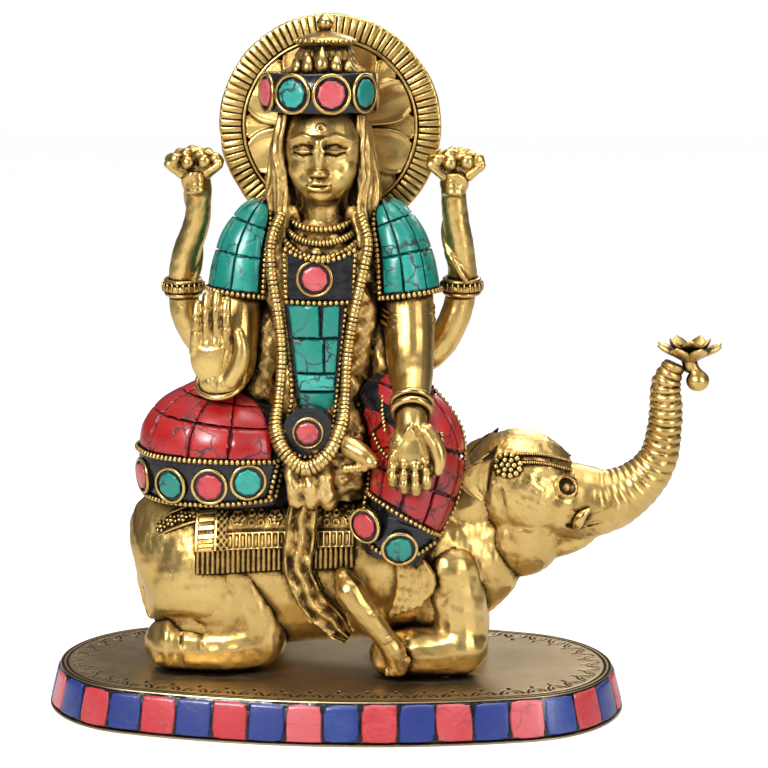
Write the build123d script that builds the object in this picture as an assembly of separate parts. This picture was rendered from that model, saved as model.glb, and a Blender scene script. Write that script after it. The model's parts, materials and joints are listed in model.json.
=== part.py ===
from build123d import *
import math
import os

# Driving dimensions, in millimetres. +X is the way the elephant faces, -Y is the front.
overall_height = 240.0
plinth_length = 200.8
plinth_depth = 102.0
plinth_height = 14.4
plinth_end_radius = 43.0
plinth_wall = 2.6
plinth_lean = 3.6
body_half_width = 24.0
figure_x = -20.5
figure_head_height = 36.0

plinth_x = -15.9
plate_top = plinth_height
skin = 1.2


# Shape helpers.
def ring_of_points(across, through, count=12):
    turns = [2 * math.pi * i / count for i in range(count)]
    return [(across * math.cos(t), through * math.sin(t)) for t in turns]


def limb(points, radii, side=(0, 1, 0)):
    """A round or oval limb skinned through sections square to its centre line."""
    spots = [Vector(*p) for p in points]
    faces = []
    for i, spot in enumerate(spots):
        along = (spots[min(i + 1, len(spots) - 1)] - spots[max(i - 1, 0)]).normalized()
        reference = Vector(*side)
        x_dir = (reference - along * reference.dot(along)).normalized()
        size = radii[i] if isinstance(radii[i], tuple) else (radii[i], radii[i])
        outline = make_face(Spline(*ring_of_points(*size), periodic=True))
        faces.append(Plane(origin=spot, x_dir=x_dir, z_dir=along) * outline)
    return Part(Solid.make_loft([f.wire() for f in faces]).wrapped)


def egg(centre, radii, turn=(0, 0, 0)):
    return Pos(*centre) * Rot(*turn) * scale(Sphere(1), by=radii)


def slab(low, high):
    size = [h - l for l, h in zip(low, high)]
    middle = [(h + l) / 2 for l, h in zip(low, high)]
    return Pos(*middle) * Box(*size)


def far_side(shape):
    return mirror(shape, about=Plane.XZ)


def other_hand(shape):
    return mirror(shape, about=Plane.YZ.offset(figure_x))


def facing(centre, normal):
    """A plane on a surface, its Z away from the piece and its Y as near up as it can be."""
    out = Vector(*normal).normalized()
    across = Vector(0, 0, 1).cross(out).normalized()
    return Plane(origin=centre, x_dir=across, z_dir=out)


def biggest(shape):
    return Part(max(shape.solids(), key=lambda s: s.volume).wrapped)


def whole_pieces(shape, least=0.4):
    return [s for s in shape.solids() if s.volume > least]


def write(name, *shapes):
    solids = [s for shape in shapes for s in shape.solids()]
    export_step(solids[0] if len(solids) == 1 else Compound(solids), f"parts/{name}.step")


# The plinth: a hollow oval casting with a stone-chip rim set in resin.
def oval(inset, height):
    half_length = plinth_length / 2 - inset
    half_depth = plinth_depth / 2 - inset
    end = plinth_end_radius - inset
    to_end = half_length - end
    side = (to_end**2 + half_depth**2 - end**2) / (2 * (half_depth - end))
    lean = math.degrees(math.atan2(side - half_depth, to_end))
    edges = [
        CenterArc((to_end, 0), end, -lean, 2 * lean),
        CenterArc((0, half_depth - side), side, lean, 180 - 2 * lean),
        CenterArc((-to_end, 0), end, 180 - lean, 2 * lean),
        CenterArc((0, side - half_depth), side, 180 + lean, 180 - 2 * lean),
    ]
    return Pos(plinth_x, 0, height) * make_face(edges)


def leaning(inset, low, high):
    """The oval between two heights, leaning in as the plinth's wall does."""
    lean = plinth_lean / plinth_height
    return loft([oval(inset + low * lean, low), oval(inset + high * lean, high)])


lip_height = 1.2
flange_height = 1.0
chip_count = 40
chip_gap = 0.7
chip_start = 0.35
chip_depth = 1.7
resin_depth = 2.4
chip_proud = 0.35
band_low, band_high = lip_height, plinth_height - flange_height

plinth = leaning(resin_depth, 0, plinth_height)
plinth += leaning(0.3, 0, lip_height)
plinth += leaning(0.5, band_high, plinth_height)
plinth -= leaning(resin_depth + plinth_wall, 0, plinth_height - plinth_wall)

chip_ring = leaning(0, band_low, band_high) - leaning(chip_depth, band_low, band_high)
rim_line = oval(0, 0).wire()
cuts = []
for i in range(chip_count):
    share = (i + chip_start) / chip_count
    across = Plane(origin=rim_line @ share, x_dir=rim_line % share, z_dir=(0, 0, 1))
    cuts.append(across * Box(chip_gap, 20, 40))
chips = whole_pieces(chip_ring - cuts)
chips.sort(key=lambda s: math.atan2(s.center().Y * 2, s.center().X - plinth_x))
resin_ring = leaning(chip_proud, band_low, band_high) - leaning(resin_depth, band_low, band_high)
plinth_resin = resin_ring - chips

screw_spots = [(-63, -15), (-63, 15), (22, -16), (22, 16)]
screw_radius = 2.0
screw_head_radius = 3.6
screw_head_height = 2.4
screw_reach = 5.0
plate_low = plinth_height - plinth_wall
shank = Cylinder(screw_radius, screw_reach)
screw_head = Cylinder(screw_head_radius, screw_head_height)
shanks = [Pos(x, y, plate_low + screw_reach / 2) * shank for x, y in screw_spots]
heads = [Pos(x, y, plate_low - screw_head_height / 2) * screw_head for x, y in screw_spots]
plinth_screws = [shank + head for shank, head in zip(shanks, heads)]
plinth -= shanks

# The kneeling elephant.
body_sections = [
    ((-86.5, 2, 46), (4, 5)),
    ((-83, 1, 47), (14, 18)),
    ((-76, 0, 49), (20, 27)),
    ((-60, 0, 50), (24, 32)),
    ((-36, 0, 52), (24.5, 31)),
    ((-10, 0, 53), (23, 29.5)),
    ((14, 0, 54), (21, 30)),
    ((31, 0, 57), (17, 25)),
    ((40, 0, 60), (13, 20)),
]


def barrel(grow):
    """The barrel of the elephant, grown evenly for the layers that lie on it."""
    radii = [(across + grow, through + grow) for _, (across, through) in body_sections]
    return limb([spot for spot, _ in body_sections], radii)


elephant_body = barrel(0)

thigh_near = egg((-52, -15, 42), (16, 10.5, 23), (0, 18, 0))
lower_near = limb(
    [(-35, -14, 27), (-40, -15, 25), (-50, -15.5, 24.2), (-62, -15, 24), (-73, -14.5, 24.6), (-78, -14, 26)],
    [6, 10, 9.7, 9, 9.4, 6.5],
)
above_plate = slab((-130, -60, plate_top), (130, 60, 260))
hind_leg_near = biggest(((thigh_near + lower_near) & above_plate) - elephant_body)
hind_leg_far = far_side(hind_leg_near)

shoulder = egg((22, -13.5, 40), (12, 9.5, 22), (0, -4, 0))
fore_lower = limb(
    [(30, -15.5, 27), (26, -16, 25), (18, -16.5, 24), (9, -17, 23.6), (1, -17.5, 23)],
    [5, 9.6, 9.2, 8.6, 6],
)
foreleg_near = biggest(((shoulder + fore_lower) & above_plate) - elephant_body)
foreleg_far = far_side(foreleg_near)

cranium = egg((47, 0, 78.5), (19.5, 16, 19), (0, 20, 0))
jaw = egg((54, 0, 63), (19, 12.5, 12), (0, -28, 0))
elephant_head = biggest(cranium + jaw - elephant_body)

trunk_line = [
    (66, 0, 74),
    (74, 0, 71.5),
    (84, 0, 74.5),
    (92, 0, 82),
    (96.5, 0, 93),
    (97.5, 0, 105),
    (96.8, 0, 115),
    (99, 0, 121.5),
]
elephant_trunk = limb(trunk_line, [12, 11, 9.4, 7.8, 6.4, 5.5, 4.9, 3.6])
elephant_trunk = biggest(elephant_trunk - elephant_head)

tusk_near = limb([(64, -9, 67), (69, -12.5, 67), (75, -13.5, 70)], [2.6, 2.2, 1.0])
tusk_near = biggest(tusk_near - elephant_head - elephant_trunk)
eye_near = biggest(egg((63.4, -12.5, 82), (3.2, 2.4, 2.6)) - elephant_head)
ear_near = egg((30, -17.5, 77), (9, 2.4, 11), (-10, 30, 0))
ear_near = biggest(ear_near - elephant_body - elephant_head - foreleg_near)

lotus_x, lotus_low, lotus_high = 104.4, 121.5, 130.0
lotus_spread = 11.4
petal_count = 8
petal_thick = 1.1
petal_rise = 38


def lotus(centre_x, centre_y, low, high, spread, count):
    """An open flower: a cup with pointed petals round it."""
    middle = Pos(centre_x, centre_y, (low + high) / 2)
    flower = middle * Pos(0, 0, -1) * Cone(spread * 0.3, spread * 0.62, high - low - 2)
    leaf = scale(Sphere(1), by=(spread * 0.5, spread * 0.3, petal_thick))
    petal = Pos(spread * 0.55, 0, 0) * Rot(0, -petal_rise, 0) * leaf
    for i in range(count):
        flower += middle * Rot(0, 0, 360 * i / count) * petal
    return biggest(flower)


trunk_lotus = lotus(lotus_x, 0, lotus_low, lotus_high, lotus_spread, petal_count)
trunk_lotus += egg((107.5, 0, 116.5), (4.2, 3.6, 4.0))
trunk_lotus += limb([(104, 0, 123), (105.5, 0, 119.5), (107, 0, 117)], [2.4, 2.2, 2.4])
trunk_lotus = biggest(trunk_lotus - elephant_trunk)

tail_line = [(-84, 10, 66), (-90.5, 11, 58), (-92, 12, 46), (-90, 12, 34), (-86, 12, 27)]
elephant_tail = biggest(limb(tail_line, [2.4, 2.0, 1.7, 1.7, 2.6]) - elephant_body - hind_leg_far)

# Harness on the elephant: layers that follow the barrel.
cloth_low, cloth_high = 61.0, 80.5
cloth_back, cloth_front = -62.0, -8.0
fringe_low = 52.5
cloth_thick, fringe_thick = 1.6, 0.9
hind_legs = [hind_leg_near, hind_leg_far]
barrel_skin = barrel(cloth_thick) - elephant_body
cloth_room = slab((cloth_back, -60, cloth_low), (cloth_front, 60, cloth_high))
fringe_room = slab((cloth_back, -60, fringe_low), (cloth_front, 60, cloth_low))
saddle_cloth = (barrel_skin & cloth_room) - hind_legs
thin_skin = barrel(fringe_thick) - elephant_body
saddle_fringe = (thin_skin & fringe_room) - hind_legs
crupper_band = (barrel_skin & slab((-92, -60, 68), (cloth_back - 0.4, 60, 74))) - hind_legs
head_ornament = egg((47, 0, 78.5), (20.6, 17.1, 20.1), (0, 20, 0)) - cranium
head_ornament = biggest((head_ornament & slab((34, -20, 88), (64, 20, 120))) - elephant_body)

# The seated figure: torso, head, hair and crown.
torso_sections = [
    ((figure_x - 1, -3, 80), (22, 20)),
    ((figure_x - 1, -4, 90), (23, 21)),
    ((figure_x - 1, -4, 100), (21.5, 20)),
    ((figure_x + 0.5, -2, 110), (18.5, 15)),
    ((figure_x + 0.8, 0, 119), (17.5, 12.5)),
    ((figure_x + 0.3, 0, 132), (19.5, 14)),
    ((figure_x, -0.5, 146), (21.5, 15)),
    ((figure_x, 0, 160), (21, 13.5)),
    ((figure_x, 0.5, 168), (16, 10)),
    ((figure_x, 0, 173), (8.5, 8)),
    ((figure_x, -1, 177), (7, 7)),
]
torso_line = [spot for spot, _ in torso_sections]
torso = limb(torso_line, [size for _, size in torso_sections], side=(1, 0, 0))
torso = biggest(torso - elephant_body - saddle_cloth)

head_middle = (figure_x + 0.6, -4, 194)
head = egg(head_middle, (12.6, 14.5, figure_head_height / 2))
head = biggest((head + limb([(figure_x, -1, 177), (figure_x, -2, 184)], [6.8, 7])) - torso)
hair_cap = egg((figure_x + 0.4, 1.5, 196), (15.4, 14.5, 19))
hair = hair_cap & slab((-60, -6, 176), (20, 30, 207.2))
fall_line = [(13, -1, 200), (15, -4, 190), (14, -5, 178), (13, -9, 169)]
for side in (-1, 1):
    hair += limb([(figure_x + side * x, y, z) for x, y, z in fall_line], [3.4, 3.4, 3.2, 2.2])
hair = biggest(hair - head - torso)

band_radius = 18.6
band_low_z, band_high_z = 207.4, 220.4
band_middle = (figure_x - 0.9, -4.2)
band_height = band_high_z - band_low_z
crown_band = Pos(*band_middle, band_low_z + band_height / 2) * Cylinder(band_radius, band_height)
crown_band = biggest(crown_band - [head, hair])


def turned(profile, centre):
    """A turned piece: the profile is radius and height pairs, up its own axis."""
    outline = Polyline((0, profile[0][1]), *profile, (0, profile[-1][1]), close=True)
    return Pos(*centre, 0) * revolve(Plane.XZ * make_face(outline), Axis.Z)


crown_middle = (figure_x + 1, -4)
cap_profile = [
    (15.5, band_high_z),
    (13.4, 223.6),
    (10.2, 227.4),
    (7.6, 228.6),
    (9.4, 229.4),
    (9.4, 231.2),
    (6.4, 232.6),
    (3.2, 233.2),
]
finial_profile = [
    (2.0, 233.2),
    (1.6, 234.4),
    (2.7, 235.8),
    (2.9, 237.2),
    (1.9, 238.8),
    (0.5, overall_height),
]
crown_cap = turned(cap_profile, crown_middle)
crown_finial = turned(finial_profile, crown_middle)

# The halo behind the head, on a bracket screwed to the back.
halo_middle = (-19.6, 201.0)
halo_radius = 38.4
halo_rim = 8.0
halo_front, halo_thick, halo_field = 14.0, 4.2, 2.2


def upright_disc(radius, front, thick):
    return Pos(halo_middle[0], front + thick / 2, halo_middle[1]) * Rot(90, 0, 0) * Cylinder(radius, thick)


halo_disc = upright_disc(halo_radius, halo_front, halo_thick)
halo_disc -= upright_disc(halo_radius - halo_rim, halo_front, halo_thick - halo_field)
halo_field_front = halo_front + halo_thick - halo_field
halo_petal_count = 8
halo_petal_size = (10.6, 3.2, 7.2)
halo_petal_reach = 19.5
boss_radius, boss_thick = 11.0, 2.4
field_middle = Pos(halo_middle[0], halo_field_front, halo_middle[1])
petal = Pos(halo_petal_reach, 0, 0) * scale(Sphere(1), by=halo_petal_size)
petal &= slab((-40, -10, -20), (40, 0, 20))
halo_lotus = field_middle * Pos(0, -boss_thick / 2, 0) * Rot(90, 0, 0) * Cylinder(boss_radius, boss_thick)
for i in range(halo_petal_count):
    halo_lotus += field_middle * Rot(0, 360 * i / halo_petal_count, 0) * petal
halo_lotus = biggest(halo_lotus - crown_band - hair - crown_cap)
halo_disc = biggest(halo_disc - hair - torso)

bracket_z = 166.0
halo_back = halo_front + halo_thick
halo_bracket = slab((figure_x - 5, 9, bracket_z - 4), (figure_x + 5, halo_front, bracket_z + 4))
halo_bracket = biggest(halo_bracket - torso - hair)
bolt_radius, bolt_length = 1.5, 5.2
bolt_head_radius, bolt_head_height = 2.8, 1.8
bolt = Rot(90, 0, 0) * Cylinder(bolt_radius, bolt_length)
bolt_head = Rot(90, 0, 0) * Cylinder(bolt_head_radius, bolt_head_height)
halo_screws = Pos(figure_x, halo_back - bolt_length / 2, bracket_z) * bolt
halo_screws += Pos(figure_x, halo_back + bolt_head_height / 2, bracket_z) * bolt_head
halo_disc -= halo_screws
halo_bracket -= halo_screws

# Arms. The figure's right is on -X.
raised_line = [
    (figure_x + 28, 7, 120),
    (figure_x + 37, 8, 124.5),
    (figure_x + 44, 8, 134),
    (figure_x + 47.3, 8, 147),
    (figure_x + 46.5, 6, 158),
    (figure_x + 44, 4, 171),
    (figure_x + 43.2, 2.5, 183),
]
raised_radii = [5.0, 5.6, 5.6, 5.4, 5.2, 4.6, 4.0]
raised_arm_left = limb(raised_line, raised_radii)
raised_arm_left = biggest(raised_arm_left - torso)
right_line = [
    (figure_x - 30, 7, 121),
    (figure_x - 40, 8, 124),
    (figure_x - 49.5, 8, 134),
    (figure_x - 51.2, 8, 146),
    (figure_x - 49.8, 6, 156),
    (figure_x - 45, 4, 170),
    (figure_x - 43.6, 2.5, 183),
]
raised_arm_right = biggest(limb(right_line, raised_radii) - torso)
lotus_right = lotus(figure_x - 43.9, 2, 183, 193, 10.6, 7)
lotus_left = lotus(figure_x + 44.3, 2, 183, 193, 10.2, 7)
lotus_right = biggest(lotus_right - raised_arm_right)
lotus_left = biggest(lotus_left - raised_arm_left - halo_disc)

upper_left = [
    (figure_x + 26, -1, 160),
    (figure_x + 28.5, -3, 146),
    (figure_x + 29.5, -7, 130),
    (figure_x + 30, -12, 118.5),
]
lower_left = [(figure_x + 30, -14, 118), (figure_x + 31, -24, 114.5), (figure_x + 31.6, -32, 110)]
front_arm_left = limb(upper_left, [8, 8.6, 8.4, 7.6], side=(1, 0, 0))
front_arm_left += egg((figure_x + 30, -13, 118), (7.6, 7.6, 7.2))
front_arm_left += limb(lower_left, [7.4, 6.6, 5.4])
front_arm_left += egg((figure_x + 32, -37, 96), (8.6, 4.2, 14), (-8, 0, 0))
front_arm_left = biggest(front_arm_left - torso - raised_arm_left)

upper_right = [
    (figure_x - 26, -1, 160),
    (figure_x - 28.5, -3, 146),
    (figure_x - 29.5, -7, 130),
    (figure_x - 30, -12, 120),
]
lower_right = [(figure_x - 30, -14, 120), (figure_x - 32, -21, 119), (figure_x - 33, -26, 121)]
front_arm_right = limb(upper_right, [8, 8.6, 8.4, 7.2], side=(1, 0, 0))
front_arm_right += egg((figure_x - 30, -13, 120), (7.2, 7.2, 7))
front_arm_right += limb(lower_right, [7, 6.6, 5.8])
front_arm_right += egg((figure_x - 33.8, -28.5, 133), (9.4, 4.0, 18), (6, 0, 0))
front_arm_right = biggest(front_arm_right - torso - raised_arm_right)


def bangle(centre, along, radius, wire, taken):
    """A round bangle about a limb, with the limb's own space taken out."""
    loop = Plane(origin=centre, z_dir=Vector(*along)) * Torus(radius, wire)
    return biggest(loop - taken)


armlets = [
    bangle(raised_line[3], (0.05, -0.1, 1), 5.6, 1.5, raised_arm_left),
    bangle(right_line[3], (0.02, -0.1, 1), 5.6, 1.5, raised_arm_right),
    bangle((figure_x + 29, -5, 138.5), (0.05, -0.2, -1), 8.7, 0.9, front_arm_left),
]
bracelets = [
    bangle((figure_x + 31.3, -29, 112), (0.08, -0.9, -0.5), 6.1, 1.3, front_arm_left),
    bangle((figure_x - 32.6, -23.5, 119.8), (-0.2, -0.9, 0.2), 6.4, 1.2, front_arm_right),
]

# Sleeves, thigh and shin: resin beds with a skin of hand-cut stone tiles.
sleeve_line = [
    (figure_x - 20, 0, 177.5),
    (figure_x - 22, 0, 172),
    (figure_x - 26, -1, 160),
    (figure_x - 28, -2, 145),
]
sleeve_radii = [(2.4, 4.5), (7, 8.6), (10.4, 11.8), (12, 13)]


def sleeve(grow):
    radii = [(across + grow, through + grow) for across, through in sleeve_radii]
    return limb(sleeve_line, radii, side=(1, 0, 0))


def tiles(skin_shape, region, cuts):
    """Stone tiles: the part of a skin inside a region, parted along the cuts."""
    return whole_pieces((skin_shape & region) - cuts)


tile_gap = 0.5


def upright_cut(x):
    return slab((x - tile_gap / 2, -80, 0), (x + tile_gap / 2, 80, 250))


def level_cut(z):
    return slab((-140, -80, z - tile_gap / 2), (140, 80, z + tile_gap / 2))


arms_and_torso = [torso, front_arm_right, raised_arm_right, halo_disc, hair]
sleeve_core = sleeve(-skin)
sleeve_right_resin = biggest(sleeve_core - arms_and_torso)
sleeve_region = slab((-80, -40, 146.4), (figure_x - 19.6, 40, 180))
sleeve_skin = sleeve(0) - sleeve_core - arms_and_torso
sleeve_cuts = [level_cut(z) for z in (157.5, 168.5)]
sleeve_cuts += [upright_cut(figure_x - out) for out in (28.5, 35.5)]
sleeve_right_tiles = tiles(sleeve_skin, sleeve_region, sleeve_cuts)
left_blockers = [torso, front_arm_left, raised_arm_left, halo_disc, hair]
sleeve_left_core = other_hand(sleeve_core)
sleeve_left_resin = biggest(sleeve_left_core - left_blockers)
left_skin = other_hand(sleeve(0)) - sleeve_left_core - left_blockers
left_region = other_hand(sleeve_region)
left_cuts = [level_cut(158.5), level_cut(168.0), upright_cut(figure_x + 30.5)]
sleeve_left_tiles = tiles(left_skin, left_region, left_cuts)

thigh_middle = (-52, -9)
thigh_sections = [
    (76, 27.5, 22.5),
    (90, 29, 24),
    (100, 27, 22.5),
    (108, 21, 17.5),
    (112.5, 13, 11),
    (114, 6, 5),
]
hem_top = 90.3
thigh_end = -37.5


def thigh(grow):
    spots = [(*thigh_middle, z + (grow if z > 110 else 0)) for z, _, _ in thigh_sections]
    return limb(spots, [(a + grow, t + grow) for _, a, t in thigh_sections], side=(1, 0, 0))


thigh_blockers = [elephant_body, saddle_cloth, torso, front_arm_right, crupper_band]
thigh_core = thigh(-skin)
thigh_resin = biggest(thigh_core - thigh_blockers)
thigh_skin = thigh(0) - thigh_core - thigh_blockers
thigh_region = slab((-100, -60, hem_top), (thigh_end, 60, 130))
thigh_y = thigh_middle[1]
crown_of_thigh = slab((-100, thigh_y - tile_gap / 2, 80), (-30, thigh_y + tile_gap / 2, 120))
thigh_cuts = [level_cut(101.5), crown_of_thigh]
thigh_cuts += [upright_cut(x) for x in (-76, -63, -50)]
thigh_tiles = tiles(thigh_skin, thigh_region, thigh_cuts)
thigh_hem = biggest(thigh_skin & slab((-100, -60, 75), (thigh_end, 60, hem_top)))

shin_line = [(-4, -8, 114), (6, -13, 107), (12.5, -17.5, 95), (11, -21, 81), (7, -23, 68.5), (4.5, -25, 58)]
shin_radii = [8, 13, 15.6, 14.6, 12.6, 9.6]


def shin(grow):
    return limb(shin_line, [r + grow for r in shin_radii])


shin_blockers = [elephant_body, torso, front_arm_left, saddle_cloth, foreleg_near, elephant_head, ear_near]
shin_core = shin(-skin)
shin_resin = biggest(shin_core - shin_blockers)
shin_skin = shin(0) - shin_core - shin_blockers
hem_plane = Plane(origin=(7, -30, 73.5), z_dir=(0.35, 0, 1))
over_hem = hem_plane * Pos(0, 0, 40) * Box(120, 120, 80)
under_hem = hem_plane * Pos(0, 0, -40.2) * Box(120, 120, 80)
front_of_leg = slab((-60, -70, 40), (60, -14, 118))
shin_cuts = [hem_plane * Pos(0, 0, z) * Box(120, 120, tile_gap) for z in (11, 23, 35)]
shin_lean = -6
shin_cuts.append(Pos(9, -30, 80) * Rot(0, shin_lean, 0) * Box(tile_gap, 60, 120))
shin_tiles = tiles(shin_skin, over_hem & front_of_leg, shin_cuts)
shin_hem = biggest(shin_skin & under_hem & front_of_leg)

# Chest plaque, sash and clasp: flat resin beds standing on the front of the torso.
front_y = -17.2


def bed(outline, back, front):
    """A flat bed facing the front, from its outline in X and Z."""
    face = make_face(Polyline(*[(x, 0, z) for x, z in outline], close=True))
    return extrude(Pos(0, back, 0) * face, amount=abs(back - front), dir=(0, -1, 0))


plaque_outline = [(-30.8, 145.4), (-9.8, 145.4), (-9.4, 161), (-16, 158.6), (-24, 158.6), (-31.2, 162)]
plaque_resin = biggest(bed(plaque_outline, -8, front_y - 0.8) - torso)
sash_outline = [(-32.6, 144.6), (-12.0, 144.6), (-14.6, 107.6), (-28.4, 107.6)]
sash_resin = biggest(bed(sash_outline, -6, front_y) - torso)
tile_outline = [(-31.4, 143.6), (-13.2, 143.6), (-15.8, 108.4), (-27.2, 108.4)]
sash_layer = bed(tile_outline, front_y, front_y - skin)
sash_lean = 4
sash_cuts = [level_cut(z) for z in (132.4, 120.4, 114.2)]
sash_cuts.append(Pos(-19, 0, 130) * Rot(0, sash_lean, 0) * Box(tile_gap, 60, 60))
sash_tiles = whole_pieces(sash_layer - sash_cuts)
clasp_middle = (-23.8, 101.6)
clasp_front, clasp_back = -27.4, -14.0
clasp_radius = 8.6
clasp_plug = Rot(90, 0, 0) * Cylinder(clasp_radius, clasp_back - clasp_front)
clasp_resin = Pos(clasp_middle[0], (clasp_front + clasp_back) / 2, clasp_middle[1]) * clasp_plug
clasp_resin = biggest(clasp_resin - torso - sash_resin - thigh_resin - thigh_hem)

# Stones in bezels: where each one sits, which way it looks and its colour.
bezel_radius, bezel_wall, bezel_height = 5.9, 0.7, 1.7
bezel_sunk = 0.8
stone_radius, stone_low, stone_high = 4.6, 0.9, 2.0
stone_sides = 9
thigh_radius, thigh_reach = 29.0, 23.6


def band_spot(angle):
    turn = math.radians(angle)
    out = (math.sin(turn), -math.cos(turn), 0)
    centre = (band_middle[0] + band_radius * out[0], band_middle[1] + band_radius * out[1], 213.7)
    return centre, out


def hem_spot(x, z):
    share = (x - thigh_middle[0]) / thigh_radius
    fall = math.sqrt(1 - share**2)
    normal = (share / thigh_radius, -fall / thigh_reach, -0.004)
    return (x, thigh_middle[1] - thigh_reach * fall, z), normal


crown_angles = [17 + 40 * k for k in range(-4, 4)]
settings = [(*band_spot(a), "red" if k % 2 == 0 else "turquoise") for k, a in enumerate(crown_angles)]
thigh_stones = [
    (-79.6, 82.6, "red"),
    (-70.2, 82.9, "turquoise"),
    (-57.2, 83.2, "red"),
    (-43.9, 83.4, "turquoise"),
]
settings += [(*hem_spot(x, z), colour) for x, z, colour in thigh_stones]
settings.append(((-4.2, -33.6, 71.6), (-0.62, -1, -0.1), "red"))
settings.append(((7.4, -36.3, 64.6), (0.1, -1, -0.25), "turquoise"))
settings.append(((-22.2, front_y - 0.8, 152.4), (0, -1, 0), "red"))
settings.append(((clasp_middle[0], clasp_front, clasp_middle[1]), (0, -1, 0), "red"))

ring_height = bezel_height + bezel_sunk
bezel_ring = Cylinder(bezel_radius, ring_height) - Cylinder(bezel_radius - bezel_wall, ring_height)
cut_stone = extrude(RegularPolygon(stone_radius, stone_sides), stone_high - stone_low)
bezels, stones = [], {"red": [], "turquoise": []}
for centre, normal, colour in settings:
    seat = facing(centre, normal)
    bezels.append(seat * Pos(0, 0, (bezel_height - bezel_sunk) / 2) * bezel_ring)
    stones[colour].append(seat * Pos(0, 0, stone_low) * cut_stone)

# The rope garland that hangs from the shoulders to the lap.
garland_line = [
    (-33.5, -13, 174),
    (-36.6, -18, 165),
    (-36.4, -19.5, 154),
    (-34.4, -20, 140),
    (-32.6, -20.5, 126),
    (-32.6, -23, 112.5),
    (-33.6, -28, 103),
    (-30.6, -32, 95.4),
    (-24.0, -33.5, 91),
    (-17.0, -32, 95.4),
    (-13.2, -28, 104),
    (-12.2, -23, 113),
    (-11.4, -20.5, 127),
    (-9.4, -20, 140),
    (-6.0, -19.5, 155),
    (-4.4, -18, 165),
    (-7.4, -13, 174),
]
garland_radius = 2.3
garland = limb(garland_line, [garland_radius] * len(garland_line))
garland = biggest(garland - [torso, sash_resin, clasp_resin])

# Bead wires: round wires that edge the resin beds.
wire_radius = 0.95
clasp_wire_radius = 7.6
clasp_wire = []
for angle in range(150, 391, 30):
    turn = math.radians(angle)
    x = clasp_middle[0] + clasp_wire_radius * math.cos(turn)
    z = clasp_middle[1] + clasp_wire_radius * math.sin(turn)
    clasp_wire.append((x, clasp_front - wire_radius, z))


def hem_wire(z, grow):
    spots = [hem_spot(x, z) for x in (-80.5, -77, -70, -60, -50, -38.6)]
    return [tuple(c + grow * n for c, n in zip(spot, Vector(*out).normalized())) for spot, out in spots]


sleeve_wire = [(-41.4, -10, 175), (-40.6, -13.4, 168), (-40.4, -15.8, 158), (-40.2, -16.8, 146)]
sash_y = front_y - 1
plaque_y = front_y - 1.8
wires = [
    (sleeve_wire, [sleeve_right_resin]),
    ([(2 * figure_x - x, y, z) for x, y, z in sleeve_wire], [sleeve_left_resin]),
    ([(-31.4, plaque_y, 145.2), (-20, plaque_y, 144.8), (-9.6, plaque_y, 145.2)], [plaque_resin]),
    ([(-33.0, sash_y, 142), (-30.9, sash_y, 124), (-29.4, sash_y, 109.4)], [sash_resin]),
    ([(-11.6, sash_y, 142), (-13.0, sash_y, 124), (-13.8, sash_y, 109.4)], [sash_resin]),
    (clasp_wire, [clasp_resin]),
    (hem_wire(90.6, 1.6), [thigh_hem, thigh_resin]),
    (hem_wire(76.6, 0.9), [thigh_hem]),
]
bead_wires = []
for line, backing in wires:
    wire = limb(line, [wire_radius] * len(line), side=(0.3, 1, 0.2))
    bead_wires.append(biggest(wire - backing))

necklace_radius = 1.5
necklace_line = []
for angle in range(-90, 91, 20):
    turn = math.radians(angle)
    place = (figure_x + 11 * math.sin(turn), -4 - 9.5 * math.cos(turn), 171.5 - 6 * math.cos(turn))
    necklace_line.append(place)
necklace = biggest(limb(necklace_line, [necklace_radius] * len(necklace_line)) - [torso, hair, garland])

# Feet and the hanging cloth end.
folded_foot = limb(
    [(-15.5, -29.6, 98), (-9.5, -30.6, 96.5), (-4.5, -32.2, 94.5), (-1.6, -33.6, 93)],
    [3.4, 4.4, 3.8, 2.6],
)
hanging_foot = limb(
    [(-12, -28, 51), (-9.5, -29, 47.5), (-3, -29.5, 39), (2.4, -28.5, 31), (6, -27, 24), (7.6, -26, 18.6)],
    [2.6, 4.4, 3.6, 3.0, 4.2, 3.2],
)
foot_blockers = [elephant_body, foreleg_near, shin_resin, shin_hem, saddle_cloth, saddle_fringe]
hanging_foot = biggest(hanging_foot - foot_blockers)
drape = limb(
    [(-24, -29, 85), (-25.5, -27.5, 70), (-26.5, -26, 55), (-22, -25.5, 42), (-10.5, -25, 31)],
    [(1.2, 5.6), (1.2, 5.2), (1.2, 4.8), (1.2, 4.2), (1.0, 2.6)],
)
drape_blockers = [elephant_body, hind_leg_near, saddle_cloth, saddle_fringe, torso, hanging_foot, thigh_hem]
drape = biggest(drape - drape_blockers)

os.makedirs("parts", exist_ok=True)
write("plinth", plinth)
write("plinth_resin", plinth_resin)
write("chips_red", *chips[0::2])
write("chips_blue", *chips[1::2])
write("plinth_screws", *plinth_screws)
write("elephant_body", elephant_body - shanks)
write("elephant_head", elephant_head)
write("elephant_trunk", elephant_trunk)
write("trunk_lotus", trunk_lotus)
write("elephant_ears", ear_near, far_side(ear_near))
write("elephant_tusks", tusk_near, far_side(tusk_near))
write("elephant_eyes", eye_near, far_side(eye_near))
write("hind_leg_near", hind_leg_near - shanks)
write("hind_leg_far", hind_leg_far - shanks)
write("foreleg_near", foreleg_near - shanks)
write("foreleg_far", foreleg_far - shanks)
write("elephant_tail", elephant_tail)
write("crupper_band", crupper_band)
write("head_ornament", head_ornament)
write("saddle_cloth", saddle_cloth)
write("saddle_fringe", saddle_fringe)
write("torso", torso)
write("head", head)
write("hair", hair)
write("crown_band", crown_band)
write("crown_cap", crown_cap)
write("crown_finial", crown_finial)
write("halo_disc", halo_disc)
write("halo_lotus", halo_lotus)
write("halo_bracket", halo_bracket)
write("halo_screws", halo_screws)
write("raised_arm_right", raised_arm_right)
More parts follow.
